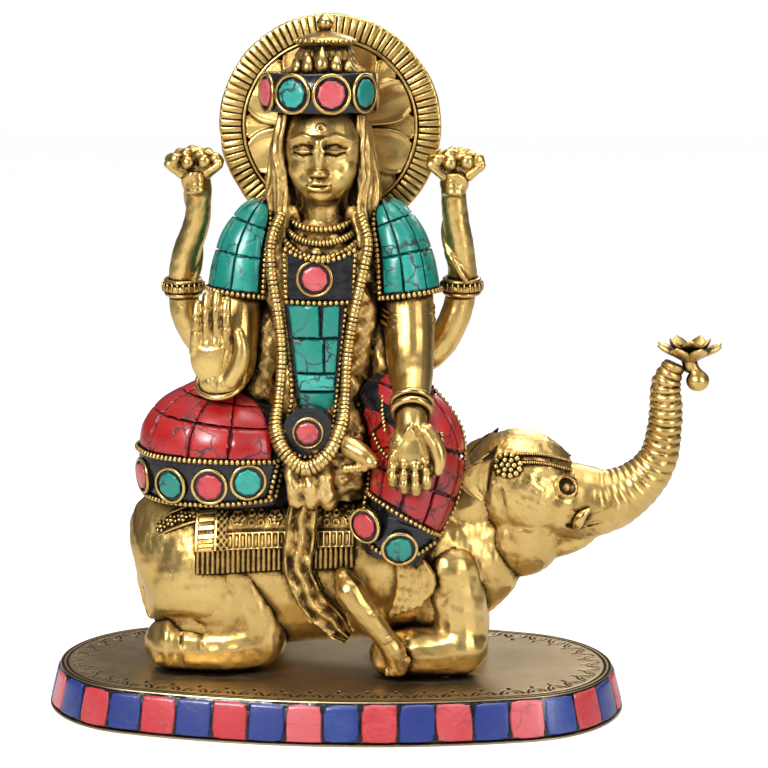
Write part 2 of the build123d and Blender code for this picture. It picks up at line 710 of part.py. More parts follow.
write("raised_arm_left", raised_arm_left)
write("held_lotuses", lotus_right, lotus_left)
write("armlets", *armlets)
write("front_arm_right", front_arm_right)
write("front_arm_left", front_arm_left)
write("bracelets", *bracelets)
write("necklace", necklace)
write("sleeve_right_resin", sleeve_right_resin)
write("sleeve_right_tiles", *sleeve_right_tiles)
write("sleeve_left_resin", sleeve_left_resin)
write("sleeve_left_tiles", *sleeve_left_tiles)
write("plaque_resin", plaque_resin)
write("sash_resin", sash_resin)
write("sash_tiles", *sash_tiles)
write("clasp_resin", clasp_resin)
write("garland", garland)
write("thigh_resin", thigh_resin)
write("thigh_tiles", *thigh_tiles)
write("thigh_hem", thigh_hem)
write("shin_resin", shin_resin)
write("shin_tiles", *shin_tiles)
write("shin_hem", shin_hem)
write("bezels", *bezels)
write("stones_red", *stones["red"])
write("stones_turquoise", *stones["turquoise"])
write("bead_wires", *bead_wires)
write("feet", folded_foot, hanging_foot)
write("drape", drape)
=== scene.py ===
import json
import math
import random

import bpy
import numpy as np
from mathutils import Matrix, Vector
from mathutils.bvhtree import BVHTree

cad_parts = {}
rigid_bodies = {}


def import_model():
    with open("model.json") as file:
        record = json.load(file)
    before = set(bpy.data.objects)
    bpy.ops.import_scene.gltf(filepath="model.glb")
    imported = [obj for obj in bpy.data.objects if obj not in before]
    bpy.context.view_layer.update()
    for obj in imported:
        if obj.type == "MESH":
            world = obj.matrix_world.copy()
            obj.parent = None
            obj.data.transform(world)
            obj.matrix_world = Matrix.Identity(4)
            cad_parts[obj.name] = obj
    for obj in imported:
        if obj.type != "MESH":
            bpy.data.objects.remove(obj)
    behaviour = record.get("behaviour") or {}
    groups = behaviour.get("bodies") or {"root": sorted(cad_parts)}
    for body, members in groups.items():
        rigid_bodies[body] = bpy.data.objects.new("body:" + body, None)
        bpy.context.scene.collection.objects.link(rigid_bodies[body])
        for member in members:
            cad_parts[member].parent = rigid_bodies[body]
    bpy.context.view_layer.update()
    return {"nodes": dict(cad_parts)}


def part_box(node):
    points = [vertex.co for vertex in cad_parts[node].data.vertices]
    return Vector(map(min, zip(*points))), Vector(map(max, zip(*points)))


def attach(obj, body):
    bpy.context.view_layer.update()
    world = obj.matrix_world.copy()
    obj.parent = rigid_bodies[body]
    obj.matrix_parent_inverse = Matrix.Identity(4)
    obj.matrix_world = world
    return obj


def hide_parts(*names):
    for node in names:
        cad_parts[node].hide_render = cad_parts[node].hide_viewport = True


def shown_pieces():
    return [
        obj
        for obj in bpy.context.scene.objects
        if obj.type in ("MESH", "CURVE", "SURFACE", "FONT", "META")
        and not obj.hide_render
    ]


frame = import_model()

mm = 0.001
random.seed(11)
nodes = frame["nodes"]
brassPieces = []  # castings and wires that get painted shade and patina where they are sheltered
figureX = -20.5  # the deity's own middle, left to right


# picking and finishing

def pick(*pieces):
    bpy.ops.object.select_all(action="DESELECT")
    for piece in pieces:
        piece.select_set(True)
    bpy.context.view_layer.objects.active = pieces[0]


def settle(piece):
    pick(piece)
    bpy.ops.object.transform_apply(location=True, rotation=True, scale=True)
    return piece


def applyModifier(piece, kind, **values):
    pick(piece)
    modifier = piece.modifiers.new(kind.lower(), kind)
    for key, value in values.items():
        setattr(modifier, key, value)
    bpy.ops.object.modifier_apply(modifier=modifier.name)


def joinUp(bits, name):
    pick(*bits)
    if len(bits) > 1:
        bpy.ops.object.join()
    piece = bpy.context.object
    piece.name = piece.data.name = name
    return piece


def finishPiece(piece, name, finish, standsFor=(), angle=50, shadeAndPatina=True):
    slotName, material = finish
    piece.name = piece.data.name = name
    piece.data.materials.clear()
    piece.data.materials.append(material)
    pick(piece)
    if angle:
        bpy.ops.object.shade_smooth_by_angle(angle=math.radians(angle))
    else:
        bpy.ops.object.shade_smooth()
    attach(piece, "root")
    if standsFor:
        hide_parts(*standsFor)
    # pieces listed here get painted shade and patina from the shelter pass
    if shadeAndPatina:
        brassPieces.append(piece)
    return piece


# starting shapes, sizes in millimetres

def addBall(place, size, turn=(0, 0, 0), parts=(32, 20)):
    spot = [c * mm for c in place]
    turned = [math.radians(t) for t in turn]
    bpy.ops.mesh.primitive_uv_sphere_add(
        segments=parts[0], ring_count=parts[1], radius=mm, location=spot, rotation=turned
    )
    piece = bpy.context.object
    piece.scale = size if isinstance(size, tuple) else (size, size, size)
    return settle(piece)


def addLimb(line, radii, sides=5, steps=8, ends=True):
    curve = bpy.data.curves.new("limb", "CURVE")
    curve.dimensions = "3D"
    curve.bevel_depth = mm
    curve.bevel_resolution = sides
    curve.resolution_u = steps
    curve.use_fill_caps = True
    spline = curve.splines.new("BEZIER")
    spline.bezier_points.add(len(line) - 1)
    for point, spot, radius in zip(spline.bezier_points, line, radii):
        point.co = [c * mm for c in spot]
        point.handle_left_type = point.handle_right_type = "AUTO"
        point.radius = radius
    piece = bpy.data.objects.new("limb", curve)
    bpy.context.collection.objects.link(piece)
    pick(piece)
    bpy.ops.object.convert(target="MESH")
    limb = bpy.context.object
    bits = [limb]
    if ends:
        bits += [addBall(line[0], radii[0], parts=(20, 12)), addBall(line[-1], radii[-1], parts=(20, 12))]
    return joinUp(bits, "limb")


def fuse(bits, grain=0.8, soften=5):
    piece = joinUp(bits, "casting")
    applyModifier(piece, "REMESH", mode="VOXEL", voxel_size=grain * mm)
    if soften:
        applyModifier(piece, "SMOOTH", factor=0.5, iterations=soften)
    return piece


# sculpting with numpy: points come in as millimetres

def readPoints(piece):
    mesh = piece.data
    points = np.empty(len(mesh.vertices) * 3, dtype=np.float64)
    mesh.vertices.foreach_get("co", points)
    normals = np.empty(len(mesh.vertices) * 3, dtype=np.float64)
    mesh.vertices.foreach_get("normal", normals)
    return points.reshape(-1, 3) / mm, normals.reshape(-1, 3)


def writePoints(piece, points):
    piece.data.vertices.foreach_set("co", (points * mm).ravel())
    piece.data.update()


def sculpt(piece, *strokes):
    for stroke in strokes:
        points, normals = readPoints(piece)
        writePoints(piece, points + normals * stroke(points)[:, None])


def lineDistance(points, line):
    best = np.full(len(points), 1e9)
    spots = np.array(line, dtype=float)
    for start, stop in zip(spots[:-1], spots[1:]):
        run = stop - start
        share = np.clip((points - start) @ run / (run @ run), 0, 1)
        gap = np.linalg.norm(points - (start + share[:, None] * run), axis=1)
        best = np.minimum(best, gap)
    return best


def stroke(line, height, width):
    return lambda points: height * np.exp(-((lineDistance(points, line) / width) ** 2))


def dab(centre, height, width):
    width = np.array(width if isinstance(width, tuple) else (width,) * 3, dtype=float)
    return lambda points: height * np.exp(-(((points - np.array(centre)) / width) ** 2).sum(axis=1))


def wobble(height, length, seed=1):
    dice = np.random.default_rng(seed)
    waves = dice.normal(size=(9, 3)) / length
    shifts = dice.uniform(0, 6.28, 9)
    return lambda points: height * np.sin(points @ waves.T + shifts).mean(axis=1) * 2


def bend(line, count):
    spots = np.array(line, dtype=float)
    padded = np.vstack([2 * spots[0] - spots[1], spots, 2 * spots[-1] - spots[-2]])
    curve = []
    for i in range(len(spots) - 1):
        p0, p1, p2, p3 = padded[i : i + 4]
        for t in np.linspace(0, 1, 16, endpoint=False):
            curve.append(
                0.5 * (2 * p1 + (p2 - p0) * t + (2 * p0 - 5 * p1 + 4 * p2 - p3) * t**2
                       + (3 * p1 - p0 - 3 * p2 + p3) * t**3)
            )
    curve.append(spots[-1])
    curve = np.array(curve)
    lengths = np.concatenate([[0], np.cumsum(np.linalg.norm(np.diff(curve[:, :3], axis=0), axis=1))])
    wanted = np.linspace(0, lengths[-1], count)
    return np.stack([np.interp(wanted, lengths, curve[:, k]) for k in range(curve.shape[1])], axis=1)


def lineLength(line):
    curve = bend(line, 200)
    return float(np.linalg.norm(np.diff(curve, axis=0), axis=1).sum())


def skin(rows, closed=True, caps=True):
    rows = [np.asarray(row) for row in rows]
    across = len(rows[0])
    points = np.vstack(rows)
    faces = []
    turns = across if closed else across - 1
    for r in range(len(rows) - 1):
        for c in range(turns):
            n = (c + 1) % across
            faces.append((r * across + c, r * across + n, (r + 1) * across + n, (r + 1) * across + c))
    if caps and closed:
        faces.append(tuple(range(across))[::-1])
        faces.append(tuple((len(rows) - 1) * across + c for c in range(across)))
    mesh = bpy.data.meshes.new("skin")
    mesh.from_pydata((points * mm).tolist(), [], faces)
    piece = bpy.data.objects.new("skin", mesh)
    bpy.context.collection.objects.link(piece)
    return piece


def faceOut(piece):
    pick(piece)
    bpy.ops.object.mode_set(mode="EDIT")
    bpy.ops.mesh.select_all(action="SELECT")
    bpy.ops.mesh.remove_doubles(threshold=0.00002)
    bpy.ops.mesh.normals_make_consistent(inside=False)
    bpy.ops.object.mode_set(mode="OBJECT")
    return piece


def copies(pattern, places, name):
    base, normals = readPoints(pattern)
    loops = [tuple(face.vertices) for face in pattern.data.polygons]
    points, faces = [], []
    for place, size, frameOf in places:
        shift = len(points) * len(base)
        axes = np.eye(3) if frameOf is None else np.array(frameOf)
        points.append(base * size @ axes + np.array(place))
        faces += [tuple(v + shift for v in loop) for loop in loops]
    mesh = bpy.data.meshes.new(name)
    mesh.from_pydata((np.vstack(points) * mm).tolist(), [], faces)
    piece = bpy.data.objects.new(name, mesh)
    bpy.context.collection.objects.link(piece)
    return piece


def discard(piece):
    bpy.data.objects.remove(piece, do_unlink=True)


def basis(normal, up=(0, 0, 1)):
    out = np.array(normal, dtype=float)
    out /= np.linalg.norm(out)
    across = np.cross(np.array(up, dtype=float), out)
    across /= np.linalg.norm(across)
    return np.array([across, np.cross(out, across), out])


def paintNumber(piece, name, values):
    layer = piece.data.attributes.new(name, "FLOAT", "POINT")
    layer.data.foreach_set("value", np.asarray(values, dtype=np.float32))


# shader groups

def newGroup(name, inputs, outputs):
    group = bpy.data.node_groups.new(name, "ShaderNodeTree")
    for label, kind, value in inputs:
        socket = group.interface.new_socket(label, in_out="INPUT", socket_type=kind)
        socket.default_value = value
    for label, kind in outputs:
        group.interface.new_socket(label, in_out="OUTPUT", socket_type=kind)
    entry = group.nodes.new("NodeGroupInput")
    leave = group.nodes.new("NodeGroupOutput")
    return group, entry, leave


def addNode(tree, kind, settings=None, **wires):
    node = tree.nodes.new("ShaderNode" + kind)
    for key, value in (settings or {}).items():
        setattr(node, key, value)
    for label, source in wires.items():
        wireIn(tree, node, label.replace("_", " "), source)
    return node


def wireIn(tree, node, label, source):
    socket = node.inputs[int(label)] if label.isdigit() else node.inputs[label]
    if isinstance(source, bpy.types.NodeSocket):
        tree.links.new(source, socket)
    else:
        socket.default_value = source


def mathNode(tree, operation, first, second=0.5, third=0.5, clamp=False):
    node = tree.nodes.new("ShaderNodeMath")
    node.operation = operation
    node.use_clamp = clamp
    for slot, source in zip(("0", "1", "2"), (first, second, third)):
        wireIn(tree, node, slot, source)
    return node.outputs[0]


def mixColor(tree, share, first, second, blend="MIX"):
    node = tree.nodes.new("ShaderNodeMix")
    node.data_type = "RGBA"
    node.blend_type = blend
    wireIn(tree, node, "0", share)
    wireIn(tree, node, "6", first)
    wireIn(tree, node, "7", second)
    return node.outputs[2]


def spread(tree, source, low, high, toLow=0.0, toHigh=1.0):
    node = tree.nodes.new("ShaderNodeMapRange")
    node.interpolation_type = "SMOOTHSTEP"
    for label, value in (("Value", source), ("From Min", low), ("From Max", high), ("To Min", toLow),
                         ("To Max", toHigh)):
        wireIn(tree, node, label, value)
    return node.outputs[0]


def noiseNode(tree, vector, scale, detail=4.0, roughness=0.55, distortion=0.0):
    node = tree.nodes.new("ShaderNodeTexNoise")
    for label, value in (
        ("Vector", vector), ("Scale", scale), ("Detail", detail), ("Roughness", roughness),
        ("Distortion", distortion)
    ):
        wireIn(tree, node, label, value)
    return node.outputs["Fac"]


def makeBrassAgeAndShade():
    group, entry, leave = newGroup(
        "brassAgeAndShade",
        [
            ("Bright", "NodeSocketColor", (0.9, 0.62, 0.22, 1)),
            ("Warm", "NodeSocketColor", (0.72, 0.40, 0.12, 1)),
            ("Shade And Patina Color", "NodeSocketColor", (0.05, 0.03, 0.014, 1)),
            ("Shelter", "NodeSocketFloat", 0.0),
            ("Shade And Patina", "NodeSocketFloat", 1.0),
            ("Grain Size", "NodeSocketFloat", 900.0),
            ("Rough Low", "NodeSocketFloat", 0.2),
            ("Rough High", "NodeSocketFloat", 0.5),
        ],
        [("Color", "NodeSocketColor"), ("Roughness", "NodeSocketFloat"), ("Height", "NodeSocketFloat")],
    )
    place = addNode(group, "TexCoord").outputs["Object"]
    broad = noiseNode(group, place, 38.0, 3.0)
    blotch = noiseNode(group, place, 170.0, 5.0, 0.65)
    grain = noiseNode(group, place, entry.outputs["Grain Size"], 6.0, 0.7)
    pits = noiseNode(group, place, 1500.0, 2.0, 0.5)
    pitMask = spread(group, pits, 0.66, 0.74)
    # painted shade: Shelter (how hidden each point is) times its gain, with patina blotches and grain, pushes
    # hollows towards the dark colour and browns them
    shade = mathNode(group, "MULTIPLY", entry.outputs["Shelter"], entry.outputs["Shade And Patina"])
    ragged = mathNode(group, "MULTIPLY_ADD", mathNode(group, "SUBTRACT", blotch, 0.5), 0.75, shade)
    ragged = mathNode(group, "MULTIPLY_ADD", mathNode(group, "SUBTRACT", grain, 0.5), 0.55, ragged)
    dark = spread(group, ragged, 0.34, 0.86)
    tan = spread(group, ragged, 0.10, 0.55)
    warmth = spread(group, broad, 0.35, 0.72, 0.0, 0.55)
    metal = mixColor(group, warmth, entry.outputs["Bright"], entry.outputs["Warm"])
    metal = mixColor(group, mathNode(group, "MULTIPLY", tan, 0.75), metal, entry.outputs["Warm"])
    # dark colour laid in: painted shade in hollows and between parts, together with patina
    metal = mixColor(group, dark, metal, entry.outputs["Shade And Patina Color"])
    metal = mixColor(group, mathNode(group, "MULTIPLY", pitMask, 0.35), metal, entry.outputs["Shade And Patina Color"])
    satin = mathNode(group, "MULTIPLY_ADD", tan, 0.16, entry.outputs["Rough Low"])
    satin = mathNode(group, "MULTIPLY_ADD", mathNode(group, "SUBTRACT", blotch, 0.5), 0.22, satin)
    roughness = group.nodes.new("ShaderNodeMix")
    wireIn(group, roughness, "0", dark)
    wireIn(group, roughness, "2", satin)
    wireIn(group, roughness, "3", entry.outputs["Rough High"])
    height = mathNode(group, "MULTIPLY_ADD", pitMask, -0.8, grain)
    group.links.new(metal, leave.inputs["Color"])
    group.links.new(roughness.outputs[0], leave.inputs["Roughness"])
    group.links.new(height, leave.inputs["Height"])
    return group


def makeStoneVeins():
    group, entry, leave = newGroup(
        "stoneVeins",
        [
            ("Body", "NodeSocketColor", (0.6, 0.05, 0.04, 1)),
            ("Pale", "NodeSocketColor", (0.8, 0.2, 0.2, 1)),
            ("Vein", "NodeSocketColor", (0.02, 0.01, 0.01, 1)),
            ("Tone", "NodeSocketFloat", 0.5),
            ("Vein Size", "NodeSocketFloat", 90.0),
            ("Vein Amount", "NodeSocketFloat", 0.5),
            ("Edge", "NodeSocketFloat", 0.0),
        ],
        [("Color", "NodeSocketColor"), ("Roughness", "NodeSocketFloat"), ("Height", "NodeSocketFloat")],
    )
    place = addNode(group, "TexCoord").outputs["Object"]
    wander = addNode(group, "TexNoise", None, Vector=place, Scale=210.0, Detail=3.0)
    offset = addNode(group, "VectorMath", {"operation": "SCALE"}, Vector=wander.outputs["Color"], Scale=0.006)
    toned = addNode(group, "CombineXYZ", None, X=mathNode(group, "MULTIPLY", entry.outputs["Tone"], 0.37))
    moved = addNode(group, "VectorMath", {"operation": "ADD"})
    group.links.new(place, moved.inputs[0])
    group.links.new(offset.outputs[0], moved.inputs[1])
    shifted = addNode(group, "VectorMath", {"operation": "ADD"})
    group.links.new(moved.outputs[0], shifted.inputs[0])
    group.links.new(toned.outputs[0], shifted.inputs[1])
    cells = addNode(
        group, "TexVoronoi", {"feature": "DISTANCE_TO_EDGE"}, Vector=shifted.outputs[0],
        Scale=entry.outputs["Vein Size"]
    )
    here = spread(group, noiseNode(group, shifted.outputs[0], 120.0, 2.0), 0.62, 0.42)
    here = mathNode(group, "MULTIPLY", here, entry.outputs["Vein Amount"])
    crack = mathNode(group, "MULTIPLY", spread(group, cells.outputs[0], 0.045, 0.012), here)
    streak = addNode(group, "Mapping", None, Vector=shifted.outputs[0], Scale=(260.0, 260.0, 2600.0))
    brushed = noiseNode(group, streak.outputs[0], 1.0, 3.0, 0.6)
    cloud = noiseNode(group, shifted.outputs[0], 140.0, 4.0)
    light = mathNode(group, "MULTIPLY_ADD", mathNode(group, "SUBTRACT", brushed, 0.5), 0.7,
                     entry.outputs["Tone"])
    light = mathNode(group, "MULTIPLY_ADD", mathNode(group, "SUBTRACT", cloud, 0.5), 0.8, light)
    body = mixColor(group, spread(group, light, 0.25, 1.05), entry.outputs["Body"], entry.outputs["Pale"])
    body = mixColor(group, crack, body, entry.outputs["Vein"])
    body = mixColor(group, entry.outputs["Edge"], body, entry.outputs["Vein"])
    roughness = mathNode(group, "MULTIPLY_ADD", brushed, 0.24, 0.2)
    roughness = mathNode(group, "MULTIPLY_ADD", crack, 0.3, roughness)
    height = mathNode(group, "MULTIPLY_ADD", crack, -1.0, mathNode(group, "MULTIPLY", brushed, 0.35))
    group.links.new(body, leave.inputs["Color"])
    group.links.new(roughness, leave.inputs["Roughness"])
    group.links.new(height, leave.inputs["Height"])
    return group


brassAgeAndShade = makeBrassAgeAndShade()
stoneVeins = makeStoneVeins()


def emptyMaterial(name):
    material = bpy.data.materials.new(name)
    material.use_nodes = True
    material.node_tree.nodes.clear()
    tree = material.node_tree
    shader = addNode(tree, "BsdfPrincipled")
    out = addNode(tree, "OutputMaterial")
    tree.links.new(shader.outputs[0], out.inputs[0])
    return material, tree, shader


def addBump(tree, shader, height, strength, depth):
    bump = addNode(tree, "Bump", None, Height=height, Strength=strength, Distance=depth * mm)
    tree.links.new(bump.outputs[0], shader.inputs["Normal"])


def brassMaterial(name, look):
    material, tree, shader = emptyMaterial(name)
    agedAndShaded = addNode(tree, "Group")
    agedAndShaded.node_tree = brassAgeAndShade
    for label in ("Bright", "Warm", "Shade And Patina Color"):
        agedAndShaded.inputs[label].default_value = (*look[label], 1)
    for label in ("Shade And Patina", "Grain Size", "Rough Low", "Rough High"):
        agedAndShaded.inputs[label].default_value = look[label]
    # shelter attribute: drives the painted shade and patina in the brass colour
    shelter = addNode(tree, "Attribute", {"attribute_name": "shelter"})
    tree.links.new(shelter.outputs["Fac"], agedAndShaded.inputs["Shelter"])
    shader.inputs["Metallic"].default_value = 1.0
    tree.links.new(agedAndShaded.outputs["Color"], shader.inputs["Base Color"])
    tree.links.new(agedAndShaded.outputs["Roughness"], shader.inputs["Roughness"])
    addBump(tree, shader, agedAndShaded.outputs["Height"], look["bump"], 0.12)
    return material


def stoneMaterial(name, look):
    material, tree, shader = emptyMaterial(name)
    veined = addNode(tree, "Group")
    veined.node_tree = stoneVeins
    for label in ("Body", "Pale", "Vein"):
        veined.inputs[label].default_value = (*look[label], 1)
    for label in ("Vein Size", "Vein Amount"):
        veined.inputs[label].default_value = look[label]
    tone = addNode(tree, "Attribute", {"attribute_name": "tone"})
    edge = addNode(tree, "Attribute", {"attribute_name": "edge"})
    tree.links.new(tone.outputs["Fac"], veined.inputs["Tone"])
    tree.links.new(edge.outputs["Fac"], veined.inputs["Edge"])
    shader.inputs["Specular IOR Level"].default_value = 0.6
    shader.inputs["Coat Weight"].default_value = 0.25
    shader.inputs["Coat Roughness"].default_value = 0.28
    tree.links.new(veined.outputs["Color"], shader.inputs["Base Color"])
    tree.links.new(veined.outputs["Roughness"], shader.inputs["Roughness"])
    addBump(tree, shader, veined.outputs["Height"], 0.5, 0.15)
    return material


brassLook = {
    "cast": {
        "Bright": (0.70, 0.485, 0.17), "Warm": (0.40, 0.225, 0.06), "Shade And Patina Color": (0.032, 0.019, 0.008),
        "Shade And Patina": 1.35, "Grain Size": 1100.0, "Rough Low": 0.3, "Rough High": 0.6, "bump": 0.4,
    },
    "rough": {
        "Bright": (0.74, 0.515, 0.19), "Warm": (0.44, 0.255, 0.075), "Shade And Patina Color": (0.028, 0.017, 0.008),
        "Shade And Patina": 1.15, "Grain Size": 800.0, "Rough Low": 0.33, "Rough High": 0.62, "bump": 0.65,
    },
    "bright": {
        "Bright": (0.72, 0.505, 0.18), "Warm": (0.44, 0.25, 0.07), "Shade And Patina Color": (0.04, 0.025, 0.012),
        "Shade And Patina": 1.1, "Grain Size": 1300.0, "Rough Low": 0.24, "Rough High": 0.55, "bump": 0.2,
    },
    "plate": {
        "Bright": (0.45, 0.345, 0.20), "Warm": (0.29, 0.205, 0.105), "Shade And Patina Color": (0.04, 0.026, 0.015),
        "Shade And Patina": 1.1, "Grain Size": 1600.0, "Rough Low": 0.4, "Rough High": 0.65, "bump": 0.15,
    },
}
castBrass = brassMaterial("castBrass", brassLook["cast"])
roughBrass = brassMaterial("roughBrass", brassLook["rough"])
brightBrass = brassMaterial("brightBrass", brassLook["bright"])
plateBrass = brassMaterial("plateBrass", brassLook["plate"])

stoneLook = {
    "coral": {
        "Body": (0.31, 0.005, 0.006), "Pale": (0.43, 0.018, 0.017), "Vein": (0.012, 0.006, 0.006),
        "Vein Size": 95.0, "Vein Amount": 0.9,
    },
    "rose": {
        "Body": (0.44, 0.026, 0.032), "Pale": (0.53, 0.10, 0.11), "Vein": (0.05, 0.006, 0.008),
        "Vein Size": 110.0, "Vein Amount": 0.35,
    },
    "lapis": {
        "Body": (0.014, 0.030, 0.175), "Pale": (0.040, 0.085, 0.29), "Vein": (0.004, 0.006, 0.03),
        "Vein Size": 80.0, "Vein Amount": 0.3,
    },
    "turquoise": {
        "Body": (0.0, 0.185, 0.14), "Pale": (0.03, 0.36, 0.295), "Vein": (0.006, 0.018, 0.016),
        "Vein Size": 105.0, "Vein Amount": 1.0,
    },
}
coralStone = stoneMaterial("coralStone", stoneLook["coral"])
roseStone = stoneMaterial("roseStone", stoneLook["rose"])
lapisStone = stoneMaterial("lapisStone", stoneLook["lapis"])
turquoiseStone = stoneMaterial("turquoiseStone", stoneLook["turquoise"])


def resinMaterial():
    material, tree, shader = emptyMaterial("blackResin")
    place = addNode(tree, "TexCoord").outputs["Object"]
    lumps = noiseNode(tree, place, 320.0, 3.0)
    specks = noiseNode(tree, place, 1800.0, 2.0)
    color = mixColor(tree, spread(tree, specks, 0.62, 0.8), (0.006, 0.006, 0.008, 1), (0.03, 0.032, 0.04, 1))
    tree.links.new(color, shader.inputs["Base Color"])
    tree.links.new(spread(tree, lumps, 0.3, 0.8, 0.14, 0.42), shader.inputs["Roughness"])
    addBump(tree, shader, lumps, 0.6, 0.35)
    return material


def steelMaterial():
    material, tree, shader = emptyMaterial("zincSteel")
    place = addNode(tree, "TexCoord").outputs["Object"]
    grain = noiseNode(tree, place, 700.0, 4.0)
    color = mixColor(tree, grain, (0.42, 0.43, 0.45, 1), (0.62, 0.62, 0.60, 1))
    tree.links.new(color, shader.inputs["Base Color"])
    tree.links.new(spread(tree, grain, 0.2, 0.8, 0.25, 0.5), shader.inputs["Roughness"])
    shader.inputs["Metallic"].default_value = 1.0
    addBump(tree, shader, grain, 0.2, 0.1)
    return material


blackResin = resinMaterial()

# a slot and its material, for each kind of surface
castFinish = "antique_brass", castBrass
roughFinish = "antique_brass", roughBrass
plateFinish = "antique_brass", plateBrass
brightFinish = "polished_brass", brightBrass
softFinish = "polished_brass", castBrass
resinFinish = "black_resin", blackResin
zincSteel = steelMaterial()
print("finishes ready")


# the plinth: an oval casting, a resin band and a rim of hand-cut chips

plinthLow, plinthHigh = (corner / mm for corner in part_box("plinth"))
plinthLook = {
    "endRadius": 43.0, "lean": 0.25, "resinDepth": 2.4, "wall": 2.6, "lip": 0.7, "flange": 0.7,
    "chipStart": -0.575,
    "chips": 40, "gap": 0.34, "chipDepth": 1.7, "stations": 1100, "longer": 1.35,
    "ringInsets": (4.9, 6.5), "loopInset": (8.2, 13.0), "loops": 50,
}
plinthMiddle = (plinthLow + plinthHigh) / 2 - Vector((plinthLook["longer"], 0, 0))
plateTop = plinthHigh.z


class Oval:
    def __init__(self, halfLength, halfDepth, endRadius):
        toEnd = halfLength - endRadius
        side = (toEnd**2 + halfDepth**2 - endRadius**2) / (2 * (halfDepth - endRadius))
        lean = math.atan2(side - halfDepth, toEnd)
        self.arcs = [
            ((toEnd, 0), endRadius, -lean, 2 * lean),
            ((0, halfDepth - side), side, lean, math.pi - 2 * lean),
            ((-toEnd, 0), endRadius, math.pi - lean, 2 * lean),
            ((0, side - halfDepth), side, math.pi + lean, math.pi - 2 * lean),
        ]
        self.length = sum(radius * turn for _, radius, _, turn in self.arcs)

    def at(self, s, inset):
        s = s % self.length
        for (cx, cy), radius, start, turn in self.arcs:
            if s <= radius * turn:
                break
            s -= radius * turn
        angle = start + s / radius
        reach = radius - inset
        return plinthMiddle.x + cx + reach * math.cos(angle), cy + reach * math.sin(angle)


oval = Oval((plinthHigh.x - plinthLow.x) / 2 + plinthLook["longer"], (plinthHigh.y - plinthLow.y) / 2,
            plinthLook["endRadius"])


def wallInset(z):
    return z * plinthLook["lean"]


def ovalRow(count, inset, z):
    return [(*oval.at(oval.length * i / count, inset), z) for i in range(count)]


def plateDepth(s, inset):
    depth = 0.0
    for ring in plinthLook["ringInsets"]:
        depth -= 0.34 * math.exp(-(((inset - ring) / 0.42) ** 2))
    low, high = plinthLook["loopInset"]
    count = plinthLook["loops"]
    turn = (s / oval.length * count) % 1.0
    across = (turn - 0.5) * oval.length / count
    deep = (inset - low) / (high - low)
    if -0.3 < deep < 1.5:
        arch = 4.1 * math.sqrt(max(0.0, 1 - min(1.0, max(0.0, deep)) ** 2))
        depth -= 0.36 * math.exp(-(((abs(across) - arch) / 0.46) ** 2)) * (0.0 if deep < 0 else 1.0)
        inner = 1.9 * math.sqrt(max(0.0, 1 - min(1.0, max(0.0, (deep - 0.12) * 1.7)) ** 2))
        if 0.12 < deep < 0.72:
            depth -= 0.3 * math.exp(-(((abs(across) - inner) / 0.4) ** 2))
    return depth


def makePlinth():
    look = plinthLook
    count = look["stations"]
    rows, shelter = [], []

    # dark: painted shade for rows inside the wall, under the flange and on the band behind the resin
    def addRow(inset, z, dark=0.0):
        rows.append(ovalRow(count, inset, z))
        shelter.extend([dark] * count)

    base = look["resinDepth"] + look["wall"]
    for z in (plateTop - look["wall"], plateTop * 0.4, 0.0):
        addRow(base + wallInset(z), z, 0.4)
    addRow(0.45, 0.0, 0.2)
    addRow(0.3, 0.3)
    addRow(0.35, look["lip"] - 0.2)
    addRow(0.8, look["lip"])
    addRow(look["resinDepth"] + 0.4, look["lip"], 0.9)
    bandTop = plateTop - look["flange"]
    addRow(look["resinDepth"] + wallInset(bandTop), bandTop, 0.9)
    addRow(1.0 + wallInset(bandTop), bandTop, 0.4)
    addRow(0.45 + wallInset(plateTop), plateTop - 0.45)
    edge = wallInset(plateTop)
    addRow(edge + 0.65, plateTop - 0.1)
    for inset in np.linspace(edge + 1.0, edge + 12.7, 38):
        row = []
        for i in range(count):
            s = oval.length * i / count
            dip = plateDepth(s, inset)
            row.append((*oval.at(s, inset), plateTop + dip))
            # painted shade in the engraved grooves, by their depth
            shelter.append(min(1.0, -dip * 6.0))
        rows.append(row)
    ring = np.array(ovalRow(count, edge + 12.7, plateTop))
    middle = np.array((plinthMiddle.x, 0.0, plateTop))
    for share in np.linspace(0.94, 0.02, 14):
        rows.append((middle + (ring - middle) * share).tolist())
        shelter.extend([0.0] * count)
    plate = skin(rows, caps=False)
    paintNumber(plate, "given_painted_shade", shelter)
    pick(plate)
    bpy.ops.object.mode_set(mode="EDIT")
    bpy.ops.mesh.select_mode(type="EDGE")
    bpy.ops.mesh.select_all(action="DESELECT")
    bpy.ops.mesh.select_non_manifold()
    bpy.ops.mesh.edge_face_add()
    bpy.ops.object.mode_set(mode="OBJECT")
    faceOut(plate)
    finishPiece(plate, "plinth_casting", plateFinish, ("plinth",), angle=35)


def makeRimResin():
    look = plinthLook
    top = plateTop - look["flange"]
    rows = []
    for inset, z in ((2.3, 1.2), (0.75, 1.25), (0.55, 2.2), (0.6, 7.0), (0.55, top - 0.8), (0.8, top),
                     (2.3, top)):
        rows.append(ovalRow(500, inset + wallInset(z), z))
    rows.append(rows[0])
    band = faceOut(skin(rows, caps=False))
    sculpt(band, wobble(0.12, 2.2, 5))
    finishPiece(band, "rim_resin", resinFinish, ("plinth_resin",), angle=60, shadeAndPatina=False)


